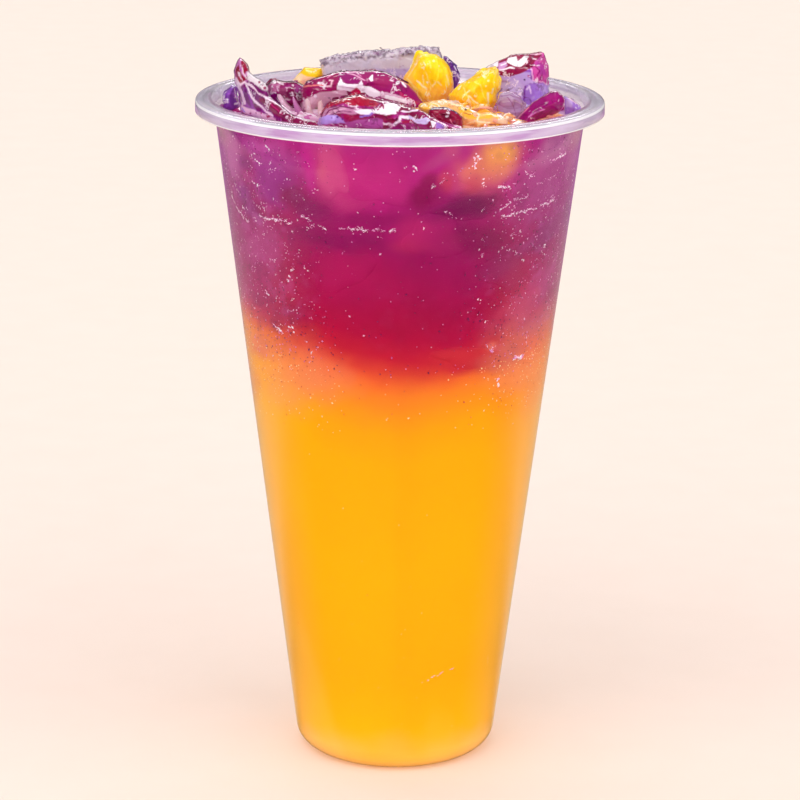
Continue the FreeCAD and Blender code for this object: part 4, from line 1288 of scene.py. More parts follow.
        ("line", [(-22.5, 161.0), (-21.2, 160.7)], 0.30, (255, 238, 180)),
    ]),
    "right_block": (6.0, [
        (18.9, 164.0), (20.5, 165.3), (22.5, 166.4), (24.8, 167.3), (27.0, 168.0), (30.3, 168.4),
        (32.9, 168.8), (33.6, 168.4), (34.5, 165.8), (34.8, 163.2), (35.1, 160.2), (35.5, 156.2),
        (30.6, 153.5), (27.3, 154.2), (23.3, 154.8), (22.6, 158.1), (22.2, 161.4), (20.6, 163.1)], [
        ("area", [(21.9, 163.7), (30.4, 163.8), (29.9, 157.5), (27.3, 154.8), (22.0, 154.8)], 0.30, (186, 158, 218)),
        ("area", [(22.9, 161.4), (27.1, 162.1), (29.2, 159.5), (28.2, 158.2), (23.9, 159.1)], 0.60, (200, 180, 228)),
        ("area", [(29.1, 160.8), (35.0, 161.5), (35.5, 154.3), (27.3, 153.5), (28.5, 158.2)], 0.20, (158, 112, 204)),
        ("area", [(32.1, 161.2), (34.4, 160.9), (34.1, 159.2), (32.4, 159.5)], 0.40, (190, 150, 226)),
        ("area", [(30.3, 168.1), (33.9, 169.4), (35.3, 165.5), (35.0, 160.9), (33.1, 161.5), (31.4, 161.8), (30.5, 165.1)], 0.12, (206, 74, 158)),
        ("area", [(31.6, 166.5), (33.6, 165.5), (34.2, 162.9), (32.4, 163.5)], 0.30, (186, 60, 160)),
        ("line", [(31.0, 165.8), (32.4, 164.2), (32.0, 163.2)], 0.30, (150, 8, 110)),
        ("area", [(21.5, 167.4), (33.2, 169.4), (32.9, 167.8), (31.6, 166.5), (30.4, 164.8), (28.4, 163.6), (25.8, 162.8), (23.2, 163.0), (22.5, 164.7)], 0.10, (140, 6, 64)),
        ("area", [(25.1, 167.1), (27.0, 167.5), (27.2, 166.4), (29.0, 167.6), (29.8, 167.6), (29.2, 166.1), (28.1, 165.1), (26.4, 165.4), (24.8, 166.1)], 0.06, (253, 242, 251)),
        ("area", [(23.0, 165.9), (24.6, 166.4), (25.1, 165.4), (23.8, 164.4), (22.8, 164.4)], 0.10, (208, 150, 204)),
        ("line", [(23.5, 165.4), (24.8, 165.9)], 0.25, (252, 240, 250)),
        ("line", [(23.2, 164.2), (25.5, 164.9), (26.4, 164.8)], 0.30, (250, 232, 246)),
        ("area", [(18.9, 164.2), (22.8, 166.7), (22.8, 165.1), (20.6, 163.7)], 0.12, (246, 228, 238)),
        ("line", [(30.5, 167.9), (31.9, 168.1), (33.1, 168.3)], 0.25, (236, 170, 200)),
        ("line", [(30.7, 167.1), (31.6, 166.8)], 0.25, (244, 210, 230)),
        ("line", [(31.0, 167.8), (30.3, 166.1), (29.1, 164.8)], 0.22, (104, 0, 52)),
        ("line", [(30.4, 164.8), (31.1, 161.8), (33.1, 161.5), (34.7, 160.9)], 0.24, (236, 170, 214)),
        ("line", [(29.1, 160.5), (29.0, 158.2), (28.6, 156.2)], 0.30, (110, 40, 150)),
        ("line", [(29.5, 159.8), (30.1, 160.5), (30.5, 158.9)], 0.30, (226, 200, 242)),
        ("dot", [(28.8, 162.0)], 0.40, (60, 20, 80)),
        ("dot", [(29.9, 162.8)], 0.60, (170, 60, 140)),
    ]),
    "dark_lens": (-15.0, [
        (26.0, 155.2), (27.0, 157.0), (28.4, 158.8), (30.2, 160.4), (32.1, 161.7), (34.0, 162.8),
        (35.4, 163.2), (36.8, 162.2), (37.6, 160.8), (37.4, 159.3), (36.2, 157.9), (33.8, 156.7),
        (31.3, 155.6), (30.7, 154.0), (25.9, 153.9)], [
        ("area", [(25.1, 163.6), (38.1, 163.7), (38.4, 153.4), (25.3, 153.3)], 0.20, (144, 0, 104)),
        ("area", [(32.8, 161.7), (35.9, 162.4), (36.6, 160.2), (33.5, 159.2)], 0.60, (158, 6, 112)),
        ("line", [(35.6, 163.0), (36.9, 162.1), (37.6, 160.7), (37.4, 159.3), (36.1, 157.9), (33.8, 156.7)], 0.40, (226, 130, 170)),
        ("line", [(29.2, 157.0), (30.6, 158.0), (32.7, 158.8)], 0.32, (214, 120, 196)),
        ("line", [(26.2, 155.6), (27.1, 157.0), (29.2, 159.1)], 0.20, (214, 110, 150)),
        ("line", [(32.3, 161.7), (35.4, 163.0)], 0.20, (110, 0, 70)),
        ("dot", [(35.1, 163.0)], 0.50, (230, 190, 220)),
    ]),
    "clear_chip": (-6.0, [
        (22.1, 158.8), (22.7, 161.1), (25.1, 161.4), (27.7, 160.3), (28.7, 158.9), (28.8, 156.3),
        (26.9, 154.3), (24.3, 154.3), (22.6, 156.2)], [
        ("area", [(21.6, 161.8), (29.0, 161.8), (29.1, 153.7), (21.7, 153.6)], 0.20, (214, 178, 218)),
        ("area", [(22.5, 160.8), (25.4, 161.1), (26.1, 159.5), (23.5, 158.8)], 0.30, (230, 206, 232)),
        ("line", [(22.9, 160.1), (25.1, 160.6), (27.4, 159.5)], 0.16, (180, 120, 180)),
        ("line", [(23.5, 158.8), (25.8, 159.2), (28.1, 158.2)], 0.18, (250, 236, 248)),
        ("line", [(22.6, 158.2), (25.5, 157.2), (27.8, 157.6)], 0.16, (190, 130, 180)),
        ("line", [(24.5, 160.1), (26.1, 157.9), (26.5, 155.9)], 0.14, (176, 110, 170)),
    ]),
    "right_lump": (-1.0, [
        (37.9, 159.4), (39.0, 159.3), (40.0, 158.8), (41.6, 157.7), (42.6, 156.7), (43.3, 154.9),
        (38.5, 153.5), (38.1, 156.1)], [
        ("area", [(37.3, 160.1), (43.8, 160.1), (44.0, 152.9), (37.5, 152.8)], 0.20, (156, 110, 196)),
        ("area", [(38.3, 158.8), (40.0, 158.5), (39.7, 156.8), (38.4, 157.1)], 0.20, (190, 160, 216)),
        ("line", [(39.0, 159.1), (41.6, 157.5), (42.6, 156.5)], 0.30, (232, 190, 214)),
    ]),
    "back_shard": (20.0, [
        (10.2, 165.4), (11.4, 165.1), (12.4, 164.1), (13.4, 162.8), (14.4, 161.1), (14.2, 159.4),
        (13.7, 158.1), (13.3, 155.7), (11.0, 155.7), (10.2, 162.4)], [
        ("area", [(9.9, 165.8), (14.9, 165.8), (15.0, 155.0), (10.0, 155.0)], 0.20, (104, 44, 146)),
        ("line", [(11.6, 164.5), (12.6, 163.1), (13.6, 161.4), (13.8, 159.8)], 0.22, (70, 16, 104)),
        ("line", [(12.8, 162.9), (13.3, 161.9)], 0.25, (240, 220, 250)),
        ("line", [(13.6, 161.1), (14.0, 160.1)], 0.25, (236, 210, 246)),
        ("line", [(13.0, 161.1), (13.3, 159.4)], 0.22, (170, 130, 200)),
        ("dot", [(12.2, 163.8)], 0.40, (210, 180, 230)),
    ]),
    "slab": (21.0, [
        (-19.1, 163.0), (-18.9, 164.0), (-18.0, 164.6), (-15.1, 165.3), (-11.7, 166.0),
        (-8.4, 166.5), (-5.0, 166.6), (-2.5, 166.6), (0.8, 167.2), (4.2, 167.5), (7.5, 167.5),
        (8.9, 167.3), (9.5, 166.5), (10.1, 164.8), (10.1, 157.9), (-3.3, 157.4), (-16.7, 157.6),
        (-18.7, 160.3)], [
        ("area", [(-20.1, 167.4), (13.4, 168.3), (13.5, 157.6), (-20.1, 157.3)], 0.20, (228, 218, 230)),
        ("area", [(-6.7, 161.8), (6.7, 162.2), (6.8, 157.5), (-10.0, 157.4)], 0.40, (196, 176, 226)),
        ("line", [(6.3, 167.1), (8.0, 165.3), (8.7, 164.9)], 0.50, (120, 90, 120)),
        ("line", [(7.3, 167.3), (9.4, 166.3)], 0.20, (60, 20, 60)),
        ("line", [(-10.7, 164.4), (-6.7, 164.8), (-2.7, 164.2)], 0.30, (244, 238, 246)),
        ("line", [(0.0, 164.9), (3.4, 163.9), (4.7, 162.2)], 0.30, (246, 240, 248)),
        ("line", [(-16.7, 162.4), (-15.4, 163.4)], 0.25, (240, 200, 220)),
        ("line", [(-15.0, 163.1), (-13.4, 163.7)], 0.25, (236, 196, 216)),
    ]),
    "pulp": (-17.0, [
        (4.1, 159.6), (6.0, 160.6), (8.2, 161.1), (10.5, 161.2), (12.4, 160.9), (14.3, 160.1),
        (16.2, 159.0), (18.1, 158.2), (19.7, 158.4), (21.9, 158.1), (23.9, 156.9), (25.5, 155.9),
        (26.3, 155.1), (26.1, 154.3), (20.1, 153.6), (13.7, 153.5), (7.3, 155.4), (5.1, 157.7)], [
        ("area", [(2.5, 165.0), (26.9, 165.2), (27.1, 152.4), (2.6, 152.2)], 0.20, (240, 172, 118)),
        ("area", [(3.4, 163.1), (6.0, 163.6), (8.2, 163.9), (7.3, 162.5), (5.4, 161.2), (3.8, 161.2)], 0.25, (250, 186, 66)),
        ("area", [(7.3, 163.4), (11.1, 164.1), (12.7, 162.5), (11.1, 161.2), (8.2, 161.5)], 0.30, (232, 178, 158)),
        ("area", [(11.1, 161.9), (14.3, 162.2), (16.2, 160.6), (14.3, 159.7), (11.4, 160.3)], 0.30, (236, 186, 166)),
        ("area", [(4.1, 160.9), (7.3, 160.9), (8.6, 159.6), (6.0, 158.6), (4.1, 159.3)], 0.25, (250, 176, 70)),
        ("area", [(13.0, 160.0), (16.8, 159.4), (18.1, 158.1), (21.9, 157.8), (20.1, 156.8), (15.6, 156.8), (13.4, 158.0)], 0.30, (252, 178, 52)),
        ("area", [(20.0, 158.7), (23.2, 157.8), (24.5, 156.5), (22.0, 156.5)], 0.25, (252, 172, 36)),
        ("area", [(14.3, 156.8), (20.1, 156.5), (25.8, 155.9), (26.5, 154.3), (14.4, 154.2)], 0.30, (234, 158, 116)),
        ("area", [(15.6, 156.1), (18.1, 156.5), (20.1, 155.5), (17.5, 154.9)], 0.30, (242, 184, 140)),
        ("line", [(4.1, 161.8), (6.0, 162.3), (8.2, 162.0), (10.5, 160.6)], 0.30, (253, 232, 214)),
        ("line", [(7.0, 160.6), (8.6, 160.1), (8.9, 159.3)], 0.25, (252, 236, 200)),
        ("line", [(7.6, 161.8), (8.6, 160.9), (9.5, 160.1)], 0.22, (252, 224, 210)),
        ("line", [(11.4, 163.6), (13.0, 162.9), (14.3, 161.9)], 0.25, (250, 222, 204)),
        ("line", [(11.7, 160.1), (13.7, 159.7), (14.3, 158.7)], 0.25, (253, 226, 180)),
        ("line", [(13.7, 159.0), (15.6, 159.3), (16.8, 158.7)], 0.22, (254, 232, 196)),
        ("line", [(16.8, 158.7), (17.8, 157.8), (17.5, 156.5)], 0.26, (254, 236, 206)),
        ("line", [(20.0, 158.4), (21.3, 157.5), (23.2, 156.8), (24.8, 156.5)], 0.22, (253, 230, 204)),
        ("line", [(15.0, 155.6), (16.9, 156.3), (20.1, 156.0)], 0.24, (250, 212, 186)),
        ("dot", [(16.4, 154.9)], 0.90, (250, 226, 206)),
        ("dot", [(17.8, 155.4)], 0.60, (254, 240, 224)),
        ("line", [(4.8, 159.6), (5.4, 160.1), (6.1, 159.6)], 0.28, (254, 240, 210)),
        ("line", [(6.7, 159.3), (7.3, 159.9), (8.0, 159.4)], 0.28, (254, 236, 200)),
        ("line", [(8.2, 163.1), (9.3, 163.5), (10.4, 163.1)], 0.16, (150, 70, 66)),
        ("line", [(5.4, 162.6), (6.1, 162.3), (6.9, 162.5)], 0.16, (150, 66, 60)),
        ("line", [(12.7, 160.9), (13.6, 161.1), (14.3, 160.6)], 0.16, (170, 80, 80)),
        ("line", [(14.3, 158.1), (15.6, 157.9), (16.9, 158.2)], 0.16, (176, 86, 60)),
        ("dot", [(8.2, 163.4)], 0.40, (80, 40, 60)),
        ("dot", [(9.5, 163.1)], 0.35, (90, 50, 60)),
        ("dot", [(10.3, 162.8)], 0.35, (96, 50, 60)),
        ("dot", [(14.8, 158.9)], 0.55, (70, 36, 60)),
        ("dot", [(14.3, 159.3)], 0.40, (240, 226, 236)),
        ("line", [(20.1, 155.4), (22.6, 155.3), (24.5, 155.5)], 0.40, (150, 74, 84)),
        ("line", [(24.2, 155.6), (25.1, 156.5), (26.4, 156.9)], 0.30, (206, 110, 120)),
        ("line", [(18.2, 154.2), (20.1, 154.6)], 0.30, (160, 90, 90)),
    ]),
}

SIGHT = 0.161                    # fall per mm of depth of the direction they are drawn in


def poly_distance(x, z, poly):
    """Signed distance in the plane to a closed outline, negative inside."""
    pts = list(poly)
    best = np.full(len(x), 1e18)
    inside = np.zeros(len(x), bool)
    for (ax, az), (bx, bz) in zip(pts, pts[1:] + pts[:1]):
        ex, ez = bx - ax, bz - az
        wx, wz = x - ax, z - az
        t = np.clip((wx * ex + wz * ez) / (ex * ex + ez * ez + 1e-12), 0, 1)
        best = np.minimum(best, (wx - t * ex) ** 2 + (wz - t * ez) ** 2)
        if abs(ez) > 1e-9:
            inside ^= ((az > z) != (bz > z)) & (x < ax + wz * ex / ez)
    d = np.sqrt(best)
    return np.where(inside, -d, d)


def line_distance(x, z, pts):
    best = np.full(len(x), 1e18)
    if len(pts) == 1:
        return np.hypot(x - pts[0][0], z - pts[0][1])
    for (ax, az), (bx, bz) in zip(pts[:-1], pts[1:]):
        ex, ez = bx - ax, bz - az
        wx, wz = x - ax, z - az
        t = np.clip((wx * ex + wz * ez) / (ex * ex + ez * ez + 1e-12), 0, 1)
        best = np.minimum(best, (wx - t * ex) ** 2 + (wz - t * ez) ** 2)
    return np.sqrt(best)


def mark_masks(key, p, warp=0.22):
    """The marks of a piece: (weight at points p, colour, kind)."""
    y0, outline, marks = SHAPES[key]
    wx = warp * fbm(p, 1.6, 901, 2)
    wz = warp * fbm(p, 1.6, 902, 2)
    x = p[:, 0] + wx
    z = p[:, 2] + SIGHT * (p[:, 1] - y0) + wz
    for kind, pts, w, c in marks:
        if kind == "area":
            d = poly_distance(x, z, pts)
            m = smoothstep(w, -w, d)
        elif kind == "line":
            d = line_distance(x, z, pts)
            m = smoothstep(w * 0.5 + 0.10, w * 0.5 - 0.06, d)
        else:
            d = line_distance(x, z, pts)
            m = smoothstep(w * 0.5 + 0.08, w * 0.5 - 0.08, d)
        yield m, c, kind


def traced(name, node, key, centre, half, edge, mat, relief, back, depth,
           planes=(), cell=0.23, k=0.5, rest_amount=0.0, top_shine=0.0):
    """A piece swelling out from its outline.  centre: y of its middle, a number
    or a function of x; half: half its thickness; edge: width of the rounding;
    depth: (lowest y, highest y)."""
    y0, outline, marks = SHAPES[key]
    o = np.array(outline)
    lo = (o[:, 0].min() - 1.0, depth[0] - 1.0, 151.2)
    hi = (o[:, 0].max() + 1.0, depth[1] + 1.0, o[:, 1].max() - SIGHT * (depth[0] - y0) + 1.2)

    def fn(p):
        x, y, z = p[:, 0], p[:, 1], p[:, 2]
        zz = z + SIGHT * (y - y0)
        d2 = poly_distance(x, zz, outline)
        yc = centre(x) if callable(centre) else centre
        u = 1.0 - np.clip(-d2 / edge, 0, 1)
        h = half * np.sqrt(np.maximum(1.0 - u * u, 0.0)) + 0.15
        d = smax(d2 * 0.9, (np.abs(y - yc) - h) * 0.75, k)
        for nrm, at in planes:
            d = smax(d, d_plane(p - np.array(at), nrm, 0.0), k)
        d = near_only(d, p, 2.2, relief)
        wall = (np.hypot(x, y) - (wall_in(z) - 0.5)) * math.cos(ALPHA)
        d = smax(d, np.where(z < CUP_H + 0.5, wall, wall - 0.0), 0.4)
        return np.maximum(d, 151.6 - z)

    v, f = surface_net(fn, lo, hi, cell)
    v, f = largest_part(v, f)
    v = relax(v, f, 1, 0.4)
    n = vertex_normals(v, f)
    col = back(v, n)
    front = smoothstep(0.45, 0.05, n[:, 1])
    for m, c, kind in mark_masks(key, v):
        col = over(col, m * front, c)
    ob = make_object(name, v, f, mat)
    attribute(ob, "tint", np.clip(col, 0, 1))
    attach(ob, "root")
    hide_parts(node)
    return ob


def ice_relief(seed, soft=0.25, facet=0.4, size=4.0):
    return lambda w: soft * fbm(w, 5.0, seed, 2) + 0.10 * fbm(w, 1.5, seed + 1, 2) + facet * facets(w, size, seed + 2)


def plain_back(seed, stops, scale=3.0, edge=0.06):
    return lambda v, n: colour_by(fbm(v, scale, seed, 3), stops, edge)


PURPLE_BACK = [(-9, MAROON), (-0.12, (146, 16, 96)), (0.12, MAGENTA), (0.30, PALE_PINK), (0.40, MAROON)]
SPIKE_BACK = [(-9, (124, 14, 104)), (-0.05, (148, 40, 150)), (0.16, (214, 150, 204)), (0.34, (134, 4, 80))]
VIOLET_BACK = [(-9, VIOLET), (0.0, (120, 40, 150)), (0.25, LILAC), (0.42, MAGENTA)]

traced("spike", "ice_spike", "spike", lambda x: -0.3 - 1.51 * (x + 37.35), 3.6, 1.9, ICE,
       ice_relief(201, 0.15, 0.25, 3.5), plain_back(211, SPIKE_BACK), (-34.5, 4.5), cell=0.25)
traced("left_lump", "ice_left_lump", "left_lump", 6.2, 4.4, 2.6, ICE,
       ice_relief(301, 0.2, 0.3, 3.0), plain_back(311, VIOLET_BACK), (1.0, 11.5))
traced("facetted_lump", "ice_facetted_lump", "lump", 5.4, 5.4, 3.4, ICE,
       ice_relief(321, 0.25, 1.0, 3.4), plain_back(331, PURPLE_BACK), (-1.0, 12.0))
traced("middle_arch", "ice_middle_arch", "middle", 0.2, 6.2, 5.0, ICE,
       ice_relief(101, 0.35, 0.35, 6.0), plain_back(111, PURPLE_BACK), (-7.6, 7.2))
traced("front_arch", "ice_front_arch", "front", lambda x: -20.6 - 11.0 * smoothstep(0.0, 9.0, x), 6.4, 4.6, ICE,
       ice_relief(131, 0.40, 0.55, 3.6), plain_back(141, PURPLE_BACK), (-38.6, -13.4))
traced("small_arch", "ice_small_arch", "small", -26.6, 3.2, 3.0, ICE,
       ice_relief(161, 0.25, 0.5, 3.0), plain_back(171, [(-9, (140, 2, 60)), (0.2, (120, 0, 50))]), (-30.6, -22.4))
traced("right_block", "ice_right_block", "right_block", 8.0, 6.0, 1.6, ICE,
       ice_relief(381, 0.25, 0.35, 4.5), plain_back(391, VIOLET_BACK), (1.4, 14.4),
       planes=[((-0.12, -1.0, 0.10), (27.0, 2.9, 160.0)), ((0.90, -0.42, 0.10), (33.0, 3.6, 161.0)),
               ((-0.10, -0.72, 0.68), (28.0, 3.0, 164.2))])
traced("dark_lens", "ice_right_lens", "dark_lens", -14.6, 3.4, 4.2, ICE,
       ice_relief(401, 0.15, 0.0, 4.0), plain_back(411, [(-9, (140, 2, 100)), (0.2, MAGENTA)]), (-20.0, -9.0))
traced("clear_chip", "ice_clear_chip", "clear_chip", -6.6, 3.0, 1.6, CLEAR,
       ice_relief(361, 0.25, 0.5, 2.6), plain_back(371, [(-9, (214, 178, 218)), (0.2, (236, 214, 236))]), (-11.0, -2.4))
traced("right_lump", "ice_right_lump", "right_lump", 0.6, 4.0, 1.8, ICE,
       ice_relief(341, 0.2, 0.35, 2.6), plain_back(351, VIOLET_BACK), (-4.4, 5.4))
traced("back_shard", "ice_back_shard", "back_shard", 21.4, 3.2, 1.6, ICE,
       ice_relief(441, 0.2, 0.45, 2.2), plain_back(451, VIOLET_BACK), (17.0, 25.6))


def slab_relief(w):
    d = 0.25 * fbm(w, 5.0, 421, 2) + 0.35 * facets(w, 4.0, 422) + 0.12 * fbm(w, 1.4, 423, 2)
    top = np.interp(w[:, 0], [-20, -12, -2, 10], [161.6, 163.6, 164.6, 165.4])
    kk = smoothstep(-0.8, 1.4, w[:, 2] + SIGHT * (w[:, 1] - 21.0) - top)
    return d + kk * (0.55 * facets(w, 1.3, 424) + 0.35 * fbm(w, 0.8, 425, 2))


def slab_colour(v, n):
    s = fbm(v, 2.4, 431, 3)
    fine = fbm(v, 0.75, 432, 2)
    zz = v[:, 2] + SIGHT * (v[:, 1] - 21.0)
    return colour_by(s, [(-9, (214, 206, 220)), (0.1, (232, 226, 236))], 0.15)


def slab_over(ob_name):
    """The crumbled upper edge of the slab is painted in grey and white flecks; the white ones are painted glints."""
    ob = bpy.data.objects[ob_name]
    me = ob.data
    v = np.empty(len(me.vertices) * 3)
    me.vertices.foreach_get("co", v)
    v = v.reshape(-1, 3) / MM
    c = np.empty(len(me.vertices) * 4)
    me.attributes["tint"].data.foreach_get("color", c)
    c = c.reshape(-1, 4)
    s = fbm(v, 2.4, 431, 3)
    fine = fbm(v, 0.75, 432, 2)
    zz = v[:, 2] + SIGHT * (v[:, 1] - 21.0)
    top = np.interp(v[:, 0], [-20, -12, -2, 10], [161.8, 163.8, 164.8, 165.6])
    k = smoothstep(-0.5, 0.5, zz - top + 0.7 * s)
    tc = colour_by(fine + 0.3 * s, [(-9, (142, 130, 142)), (-0.30, (184, 174, 186)), (-0.02, (220, 213, 224)), (0.26, WHITE)], 0.08)
    col = c[:, :3] * (1 - k[:, None]) + tc * k[:, None]
    col = over(col, smoothstep(0.50, 0.56, fbm(v, 1.0, 434, 2)) * 0.5, (180, 120, 180))
    low = smoothstep(159.8, 157.6, zz + s)
    col = over(col, low * 0.7, (184, 158, 226))
    c[:, :3] = col
    me.attributes["tint"].data.foreach_set("color", c.ravel())


traced("back_slab", "ice_back_slab", "slab", 22.2, 3.6, 1.8, CLEAR,
       slab_relief, slab_colour, (18.0, 26.6), cell=0.25)
slab_over("back_slab")


# ---- pineapple ---------------------------------------------------------------------------
def fruit_material(name, painted_glint_w, dark_w, rough, warm):
    m = Nodes(name)
    a = m.attr("tint")
    co = m.coords()
    fib = m.noise(1500.0, 3.0, 0.6, co)
    broad = m.noise(420.0, 3.0, 0.6, co)
    col = m.mix(m.math("MULTIPLY", fib, 0.25), a.outputs["Color"], (1.0, 0.66, 0.10), "SOFT_LIGHT")

    def strings(scale, shift, width, cover, stretch):
        mp = m.new("ShaderNodeMapping")
        m.link(co, mp.inputs["Vector"])
        mp.inputs["Location"].default_value = (shift, shift * 0.7, shift * 1.3)
        mp.inputs["Scale"].default_value = stretch
        a1 = m.noise(scale, 2.0, 0.5, mp.outputs[0], 0.5)
        edge = m.math("ABSOLUTE", m.math("SUBTRACT", a1, 0.5))
        on = m.ramp(edge, [(0.0, (1.0,) * 3), (width, (1.0,) * 3), (width * 2.0, (0.0,) * 3)])
        patch = m.ramp(m.noise(scale * 0.6, 1.0, 0.5, mp.outputs[0]), [(cover, (0.0,) * 3), (cover + 0.05, (1.0,) * 3)])
        return m.math("MULTIPLY", on, patch)
    # painted highlights: the pale lines mixed into the fruit's colour
    light = strings(760.0, 0.13, 0.026, 0.57, (1.0, 1.0, 0.6))
    dark = strings(560.0, 0.47, 0.018, 0.58, (1.0, 1.0, 1.0))
    col = m.mix(m.math("MULTIPLY", dark, dark_w), col, lin(150, 70, 50))
    col = m.mix(m.math("MULTIPLY", light, painted_glint_w), col, lin(255, 244, 214))
    h = m.math("ADD", m.math("MULTIPLY", fib, 0.5), m.math("MULTIPLY", broad, 0.9))
    n = m.bump(m.math("ADD", h, m.math("MULTIPLY", light, 0.4)), 0.34, 0.0009)
    p = m.principled(Base_Color=col, Roughness=rough, Normal=n)
    # painted glow: an orange emission keeps the fruit's shaded side warm and bright
    p.inputs["Emission Color"].default_value = (1.0, 0.40, 0.02, 1.0)
    p.inputs["Emission Strength"].default_value = warm
    p.inputs["IOR"].default_value = 1.36
    p.inputs["Coat Weight"].default_value = 0.30
    p.inputs["Coat Roughness"].default_value = 0.05
    p.inputs["Subsurface Weight"].default_value = 0.55
    p.inputs["Subsurface Radius"].default_value = (1.0, 0.7, 0.15)
    p.inputs["Subsurface Scale"].default_value = 0.0040
    return m.finish(p.outputs[0])


FRUIT = fruit_material("wet_pineapple", 0.60, 0.10, 0.24, 0.13)
PULP = fruit_material("fruit_pulp", 0.80, 0.50, 0.16, 0.05)


def fruit_relief(seed, fibre=0.16, body=0.35, lean=0.0):
    def relief(w):
        q = w.copy()
        q[:, 0] = q[:, 0] - lean * (q[:, 2] - 158.0)
        st = q / np.array([1.0, 1.0, 3.6])
        ridges = np.abs(fbm(st, 1.3, seed, 2))
        return body * fbm(w, 4.5, seed + 1, 2) + fibre * (0.4 - 1.8 * ridges) + 0.08 * fbm(w, 0.9, seed + 2, 1)
    return relief


def fruit_back(seed):
    return lambda v, n: colour_by(fbm(v / np.array([1, 1, 2.6]), 1.8, seed, 3),
                                  [(-9, (250, 182, 14)), (-0.2, (254, 204, 16)), (0.3, (255, 222, 64))], 0.15)


traced("pineapple_tall_v", "pineapple_tall", "tall_fruit", 11.4, 5.0, 3.6, FRUIT,
       fruit_relief(501, 0.26, 0.55, 0.1), fruit_back(511), (6.0, 17.0))
traced("pineapple_leaning_v", "pineapple_leaning", "leaning_fruit", 1.2, 4.6, 3.4, FRUIT,
       fruit_relief(521, 0.26, 0.55, 0.5), fruit_back(531), (-3.8, 6.4))
traced("pineapple_back_v", "pineapple_back", "back_fruit", 24.4, 3.6, 2.6, FRUIT,
       fruit_relief(541, 0.14, 0.25), fruit_back(551), (20.4, 28.6))
traced("pineapple_front_v", "pineapple_front", "pulp", -20.0, 6.2, 3.4, PULP,
       lambda w: 0.5 * fbm(w, 4.0, 561, 3) + 0.22 * (0.5 - 2.0 * np.abs(fbm(w, 1.6, 562, 2))) + 0.3 * facets(w, 2.4, 563),
       lambda v, n: over(over(colour_by(fbm(v, 2.2, 571, 3), [(-9, (236, 152, 80)), (-0.05, (242, 168, 96)), (0.22, (246, 190, 134))], 0.12),
                              smoothstep(0.30, 0.38, fbm(v, 1.3, 572, 2)), (250, 214, 176)),
                         smoothstep(0.40, 0.48, -fbm(v, 1.2, 573, 2)), (206, 110, 96)),
       (-29.0, -11.0), k=0.6)

# ---------------------------------------------------------------------------
# what lies against the wall inside the drink: sunk ice and fruit, bubbles and
# painted glints along the edges of ice.  All of it sits within the wall's thickness, so it
# shows through the clear wall.
# ---------------------------------------------------------------------------
SUNK = [
    # angle, height, half width, half height, lean, colour, amount
    (-66.0, 148.6, 6.0, 6.6, 8, (206, 112, 176), 0.40),
    (-44.0, 145.2, 7.0, 6.2, 0, (158, 38, 144), 0.45),
    (-21.0, 148.4, 4.4, 6.8, 5, (216, 96, 150), 0.40),
    (-5.5, 147.4, 8.6, 6.6, 0, (206, 52, 140), 0.35),
    (-51.0, 128.5, 9.4, 5.8, 28, (186, 78, 146), 0.40),
    (-30.5, 139.8, 6.4, 3.2, -20, (128, 6, 92), 0.40),
    (-20.0, 126.0, 8.4, 5.4, 12, (188, 26, 104), 0.30),
    (12.0, 134.0, 7.4, 5.6, -10, (186, 40, 112), 0.35),
    (27.0, 149.0, 6.2, 5.6, 0, (224, 116, 116), 0.25),
    (22.5, 140.6, 8.4, 3.2, 8, (120, 8, 84), 0.40),
    (52.0, 145.2, 9.4, 7.2, 20, (178, 70, 146), 0.40),
    (71.0, 149.0, 6.4, 6.4, -10, (200, 118, 178), 0.40),
    (60.0, 132.6, 8.6, 3.6, 20, (156, 40, 120), 0.30),
    (40.0, 124.0, 8.0, 5.0, -16, (170, 50, 112), 0.35),
    (26.0, 105.0, 8.8, 2.8, -8, (208, 50, 66), 0.40),
    (50.0, 114.5, 7.0, 4.6, 22, (202, 74, 120), 0.40),
]
rng = np.random.RandomState(12)
n_back = 0
while n_back < 26:
    ang, z = rng.uniform(84, 276), rng.uniform(108, 150)
    c = [(188, 84, 156), (210, 130, 188), (132, 10, 90), (200, 44, 132), (160, 60, 160)][rng.randint(5)]
    SUNK.append((ang, z, rng.uniform(5, 9), rng.uniform(3.4, 6.4), rng.uniform(-30, 30), c, rng.uniform(0.3, 0.5)))
    n_back += 1


